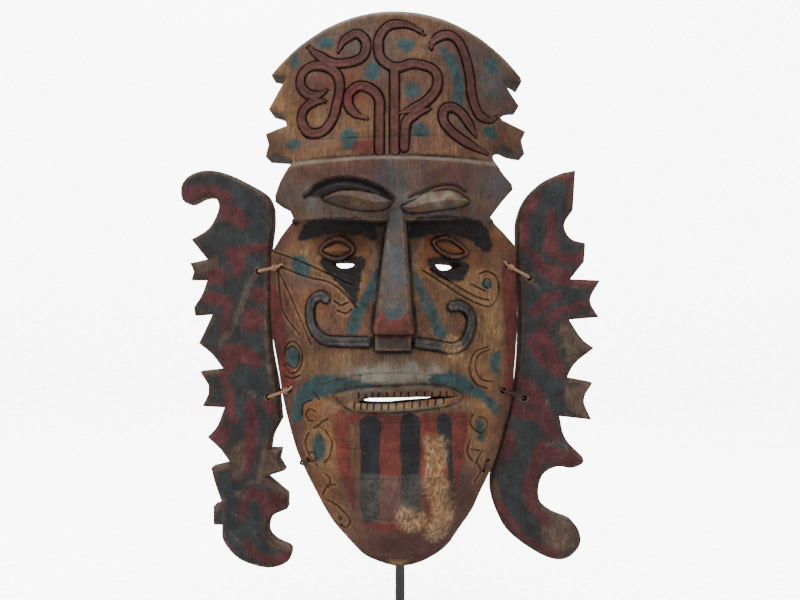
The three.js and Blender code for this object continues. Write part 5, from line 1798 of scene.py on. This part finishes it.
def steel_material(name, colour):
    material, nodes, shader, at = new_material(name)
    grain = nodes.noise(at, 1.4, 5.0, 0.65)
    haze = nodes.span(nodes.noise(at, 0.05, 4.0, 0.6), 0.3, 0.7)
    rubbed = nodes.group(effect("wear"), {"Place": at, "Ridge": nodes.fact("ridge"), "Amount": 1.2})["Mask"]
    tone = nodes.blend(haze, colour, tuple(c * 1.6 for c in colour))
    tone = nodes.blend(nodes.times(rubbed, 0.3), tone, (0.12, 0.12, 0.125))
    dust = nodes.group(effect("dust"), {"Place": at, "Up": facing_up(nodes), "Amount": 0.1})["Mask"]
    tone = nodes.blend(dust, tone, (0.3, 0.29, 0.27))
    nodes.put(shader.inputs["Base Color"], tone)
    rough = nodes.math("MULTIPLY_ADD", dust, 0.4, nodes.span(grain, 0.2, 0.8, 0.36, 0.5))
    nodes.put(shader.inputs["Roughness"], rough)
    bumped(nodes, shader, (grain, 0.25, 0.12))
    return material


class MASK_OT_stand(bpy.types.Operator):
    """Make the steel rod, crossbar and foot"""
    bl_idname = "mask.stand"
    bl_label = "Make the stand"

    def execute(self, context):
        choices = context.scene.mask_stand
        steel = steel_material("black steel", tuple(choices.steel))
        low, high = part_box("stand_rod")
        bar_front = RIM_Y + BAR_GAP
        bar_back = bar_front + BAR_THICKNESS
        rod_y = bar_back + ROD_RADIUS - BAR_SINK
        narrow = ROD_RADIUS - STEEL_EDGE
        points, faces = turned([(narrow, low[2]), (ROD_RADIUS, low[2] + STEEL_EDGE),
                                (ROD_RADIUS, high[2] - STEEL_EDGE), (narrow, high[2])])
        shells = [(points + (0, rod_y, 0), faces)]
        bar_low = CHIN_Z + BAR_LOW * MM
        shells.append(rounded_box((low[0], bar_front, bar_low),
                                  (high[0], bar_back, bar_low + BAR_HEIGHT * MM), STEEL_EDGE))
        shells += [self.screw(u * MM, bar_back, CHIN_Z + v * MM) for u, v in SCREW_PLACES]
        points, faces = joined(*shells)
        rod = solid_object("stand_rod_and_bar", points, faces, {})
        rod.data.materials.append(steel)
        finish_piece(rod, "black_steel", "stand_rod")
        low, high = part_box("stand_foot")
        plate = rounded_box(low, high, choices.edge_round, 4)
        top = high[2] + COLLAR_HEIGHT
        ring, ring_faces = turned([(COLLAR_RADIUS, high[2] - COLLAR_SINK),
                                   (COLLAR_RADIUS, top - COLLAR_BEVEL),
                                   (COLLAR_RADIUS - COLLAR_BEVEL, top),
                                   (ROD_RADIUS + COLLAR_GAP, top)])
        points, faces = joined(plate, (ring + (0, rod_y, 0), ring_faces))
        foot = solid_object("stand_foot_plate", points, faces, {})
        foot.data.materials.append(steel)
        finish_piece(foot, "black_steel", "stand_foot")
        return {"FINISHED"}

    def screw(self, x, y, z):
        """A domed screw head with a slot, and its shank into the wood"""
        head = SCREW_HEAD * MM
        points, faces = turned([(2 * MM, -13 * MM), (2 * MM, 0), (head, 0.1 * MM), (head, 0.8 * MM),
                                (head * 0.75, 1.6 * MM), (head * 0.35, 1.95 * MM), (head * 0.1, 2 * MM)], 24)
        slot = (np.abs(points[:, 0]) < 0.6 * MM) & (points[:, 2] > 1.2 * MM)
        points[slot, 2] -= 0.8 * MM
        return np.stack([x + points[:, 0], y + points[:, 2], z - points[:, 1]], -1), faces


# Stage

LENS = 27
SENSOR = 36
CAMERA_AWAY = 500             # in front of the mask's rim
CAMERA_LEVEL = 210            # above the chin
WALL_HALF, WALL_TOP = 2.5, 2.6
WALL_FOOT = 0.0003            # the wall's sheet lies this far over the floor
FLOOR_HALF = 4
# Lights: place, side length, and which power they take
LIGHTS = {
    "main light": ((-0.35, -0.75, 1.75), 1.3, "key_power"),
    "front light": ((0.9, -1.5, 0.6), 1.4, "fill_power"),
    "back light": ((-0.4, 0.85, 1.65), 0.8, "back_power"),
}
LIGHTS_AIM = (0, 0, 0.3)
SKY = (0.93, 0.96, 1.0, 1)
SKY_STRENGTH = 0.45


def plaster(name, colour, glow):
    """Pale plaster, brighter to the camera than its light, darker close to other things as a painted contact
    shadow, and see-through from behind
    """
    material, nodes, shader, at = new_material(name)
    rough = nodes.noise(at, 0.13, 6.0, 0.62)
    tone = nodes.span(rough, 0.3, 0.7, 0.78, 1.0)
    tinted = nodes.toned(colour, tone)
    nodes.put(shader.inputs["Base Color"], tinted)
    nodes.put(shader.inputs["Emission Color"], tinted)
    seen = nodes.add("ShaderNodeLightPath").outputs["Is Camera Ray"]
    # Near other things the glow gives out: a painted contact shadow
    near = nodes.add("ShaderNodeAmbientOcclusion", {"Distance": 0.3}, samples=4).outputs["AO"]
    painted_contact_shadow = nodes.math("POWER", nodes.span(near, 0.0, 0.97), 2.5)
    nodes.put(shader.inputs["Emission Strength"], nodes.times(nodes.times(seen, glow), painted_contact_shadow))
    shader.inputs["Roughness"].default_value = 0.9
    bumped(nodes, shader, (rough, 0.6, 2.5))
    clear = nodes.add("ShaderNodeBsdfTransparent")
    behind = nodes.add("ShaderNodeNewGeometry").outputs["Backfacing"]
    mixed = nodes.add("ShaderNodeMixShader")
    for index, value in enumerate((behind, shader.outputs[0], clear.outputs[0])):
        nodes.put(mixed.inputs[index], value)
    output = next(n for n in nodes.tree.nodes if n.type == "OUTPUT_MATERIAL")
    nodes.put(output.inputs["Surface"], mixed.outputs[0])
    return material


class MASK_OT_stage(bpy.types.Operator):
    """Set the floor, the wall, the lights and the camera"""
    bl_idname = "mask.stage"
    bl_label = "Set the stage"

    def execute(self, context):
        choices = context.scene.mask_stage
        self.camera(context)
        self.backdrop(context, choices)
        self.lights(context, choices)
        return {"FINISHED"}

    def camera(self, context):
        data = bpy.data.cameras.new("Camera")
        data.lens = LENS
        data.sensor_width = SENSOR
        data.clip_start = 0.01
        camera = bpy.data.objects.new("Camera", data)
        camera.location = (0, RIM_Y - CAMERA_AWAY * MM, CHIN_Z + CAMERA_LEVEL * MM)
        camera.rotation_euler = (math.pi / 2, 0, 0)
        context.scene.collection.objects.link(camera)
        context.scene.camera = camera

    def backdrop(self, context, choices):
        wall = choices.wall_distance
        bend = min(0.3, wall * 0.5)
        rows = [(wall - bend - 0.02, WALL_FOOT)]
        rows += [(wall - bend * (1 - math.sin(a)), WALL_FOOT + bend * (1 - math.cos(a)))
                 for a in np.linspace(0, math.pi / 2, 16)]
        rows.append((wall, WALL_TOP))
        points = [(x, y, z) for y, z in rows for x in (-WALL_HALF, WALL_HALF)]
        faces = [(2 * k, 2 * k + 1, 2 * k + 3, 2 * k + 2) for k in range(len(rows) - 1)]
        mesh = bpy.data.meshes.new("wall")
        mesh.from_pydata(points, [], faces)
        mesh.shade_smooth()
        pale = plaster("pale plaster", tuple(choices.wall), choices.glow)
        mesh.materials.append(pale)
        back = bpy.data.objects.new("wall", mesh)
        mesh = bpy.data.meshes.new("floor")
        corners = [(x * FLOOR_HALF, y * FLOOR_HALF, 0) for x, y in ((-1, -1), (1, -1), (1, 1), (-1, 1))]
        mesh.from_pydata(corners, [], [(0, 1, 2, 3)])
        mesh.materials.append(pale)
        floor = bpy.data.objects.new("floor", mesh)
        for piece in (back, floor):
            context.scene.collection.objects.link(piece)

    def lights(self, context, choices):
        for name, (spot, size, power) in LIGHTS.items():
            data = bpy.data.lights.new(name, "AREA")
            data.shape = "SQUARE"
            data.size = size
            data.energy = getattr(choices, power)
            lamp = bpy.data.objects.new(name, data)
            lamp.location = spot
            lamp.rotation_euler = (Vector(LIGHTS_AIM) - Vector(spot)).to_track_quat("-Z", "Y").to_euler()
            context.scene.collection.objects.link(lamp)
        world = bpy.data.worlds.new("studio")
        world.use_nodes = True
        background = next(n for n in world.node_tree.nodes if n.type == "BACKGROUND")
        background.inputs["Color"].default_value = SKY
        nodes = Nodes(world.node_tree)
        seen = nodes.add("ShaderNodeLightPath").outputs["Is Camera Ray"]
        strength = nodes.math("MULTIPLY_ADD", seen, choices.glow, SKY_STRENGTH)
        nodes.put(background.inputs["Strength"], strength)
        context.scene.world = world


# Add-on

class MASK_PT_panel(bpy.types.Panel):
    """Lists the steps that build the mask"""
    bl_label = "Spirit mask"
    bl_idname = "MASK_PT_panel"
    bl_space_type = "VIEW_3D"
    bl_region_type = "UI"
    bl_category = "Mask"

    def draw(self, context):
        for operator in OPERATORS:
            self.layout.operator(operator.bl_idname)
        for key in CHOICES:
            group = getattr(context.scene, key)
            box = self.layout.box()
            box.label(text=key.replace("_", " ").capitalize())
            for name in group.bl_rna.properties.keys():
                if name not in ("rna_type", "name"):
                    box.prop(group, name)


OPERATORS = (MASK_OT_stage, MASK_OT_carving, MASK_OT_boards, MASK_OT_lashings, MASK_OT_stand)


def register():
    for cls in (*CHOICES.values(), *OPERATORS, MASK_PT_panel):
        bpy.utils.register_class(cls)
    for key, cls in CHOICES.items():
        setattr(bpy.types.Scene, key, bpy.props.PointerProperty(type=cls))


def unregister():
    for key in CHOICES:
        delattr(bpy.types.Scene, key)
    for cls in reversed((*CHOICES.values(), *OPERATORS, MASK_PT_panel)):
        bpy.utils.unregister_class(cls)


def main():
    register()
    for step in ("stage", "carving", "boards", "lashings", "stand"):
        getattr(bpy.ops.mask, step)()


if __name__ == "__main__":
    main()
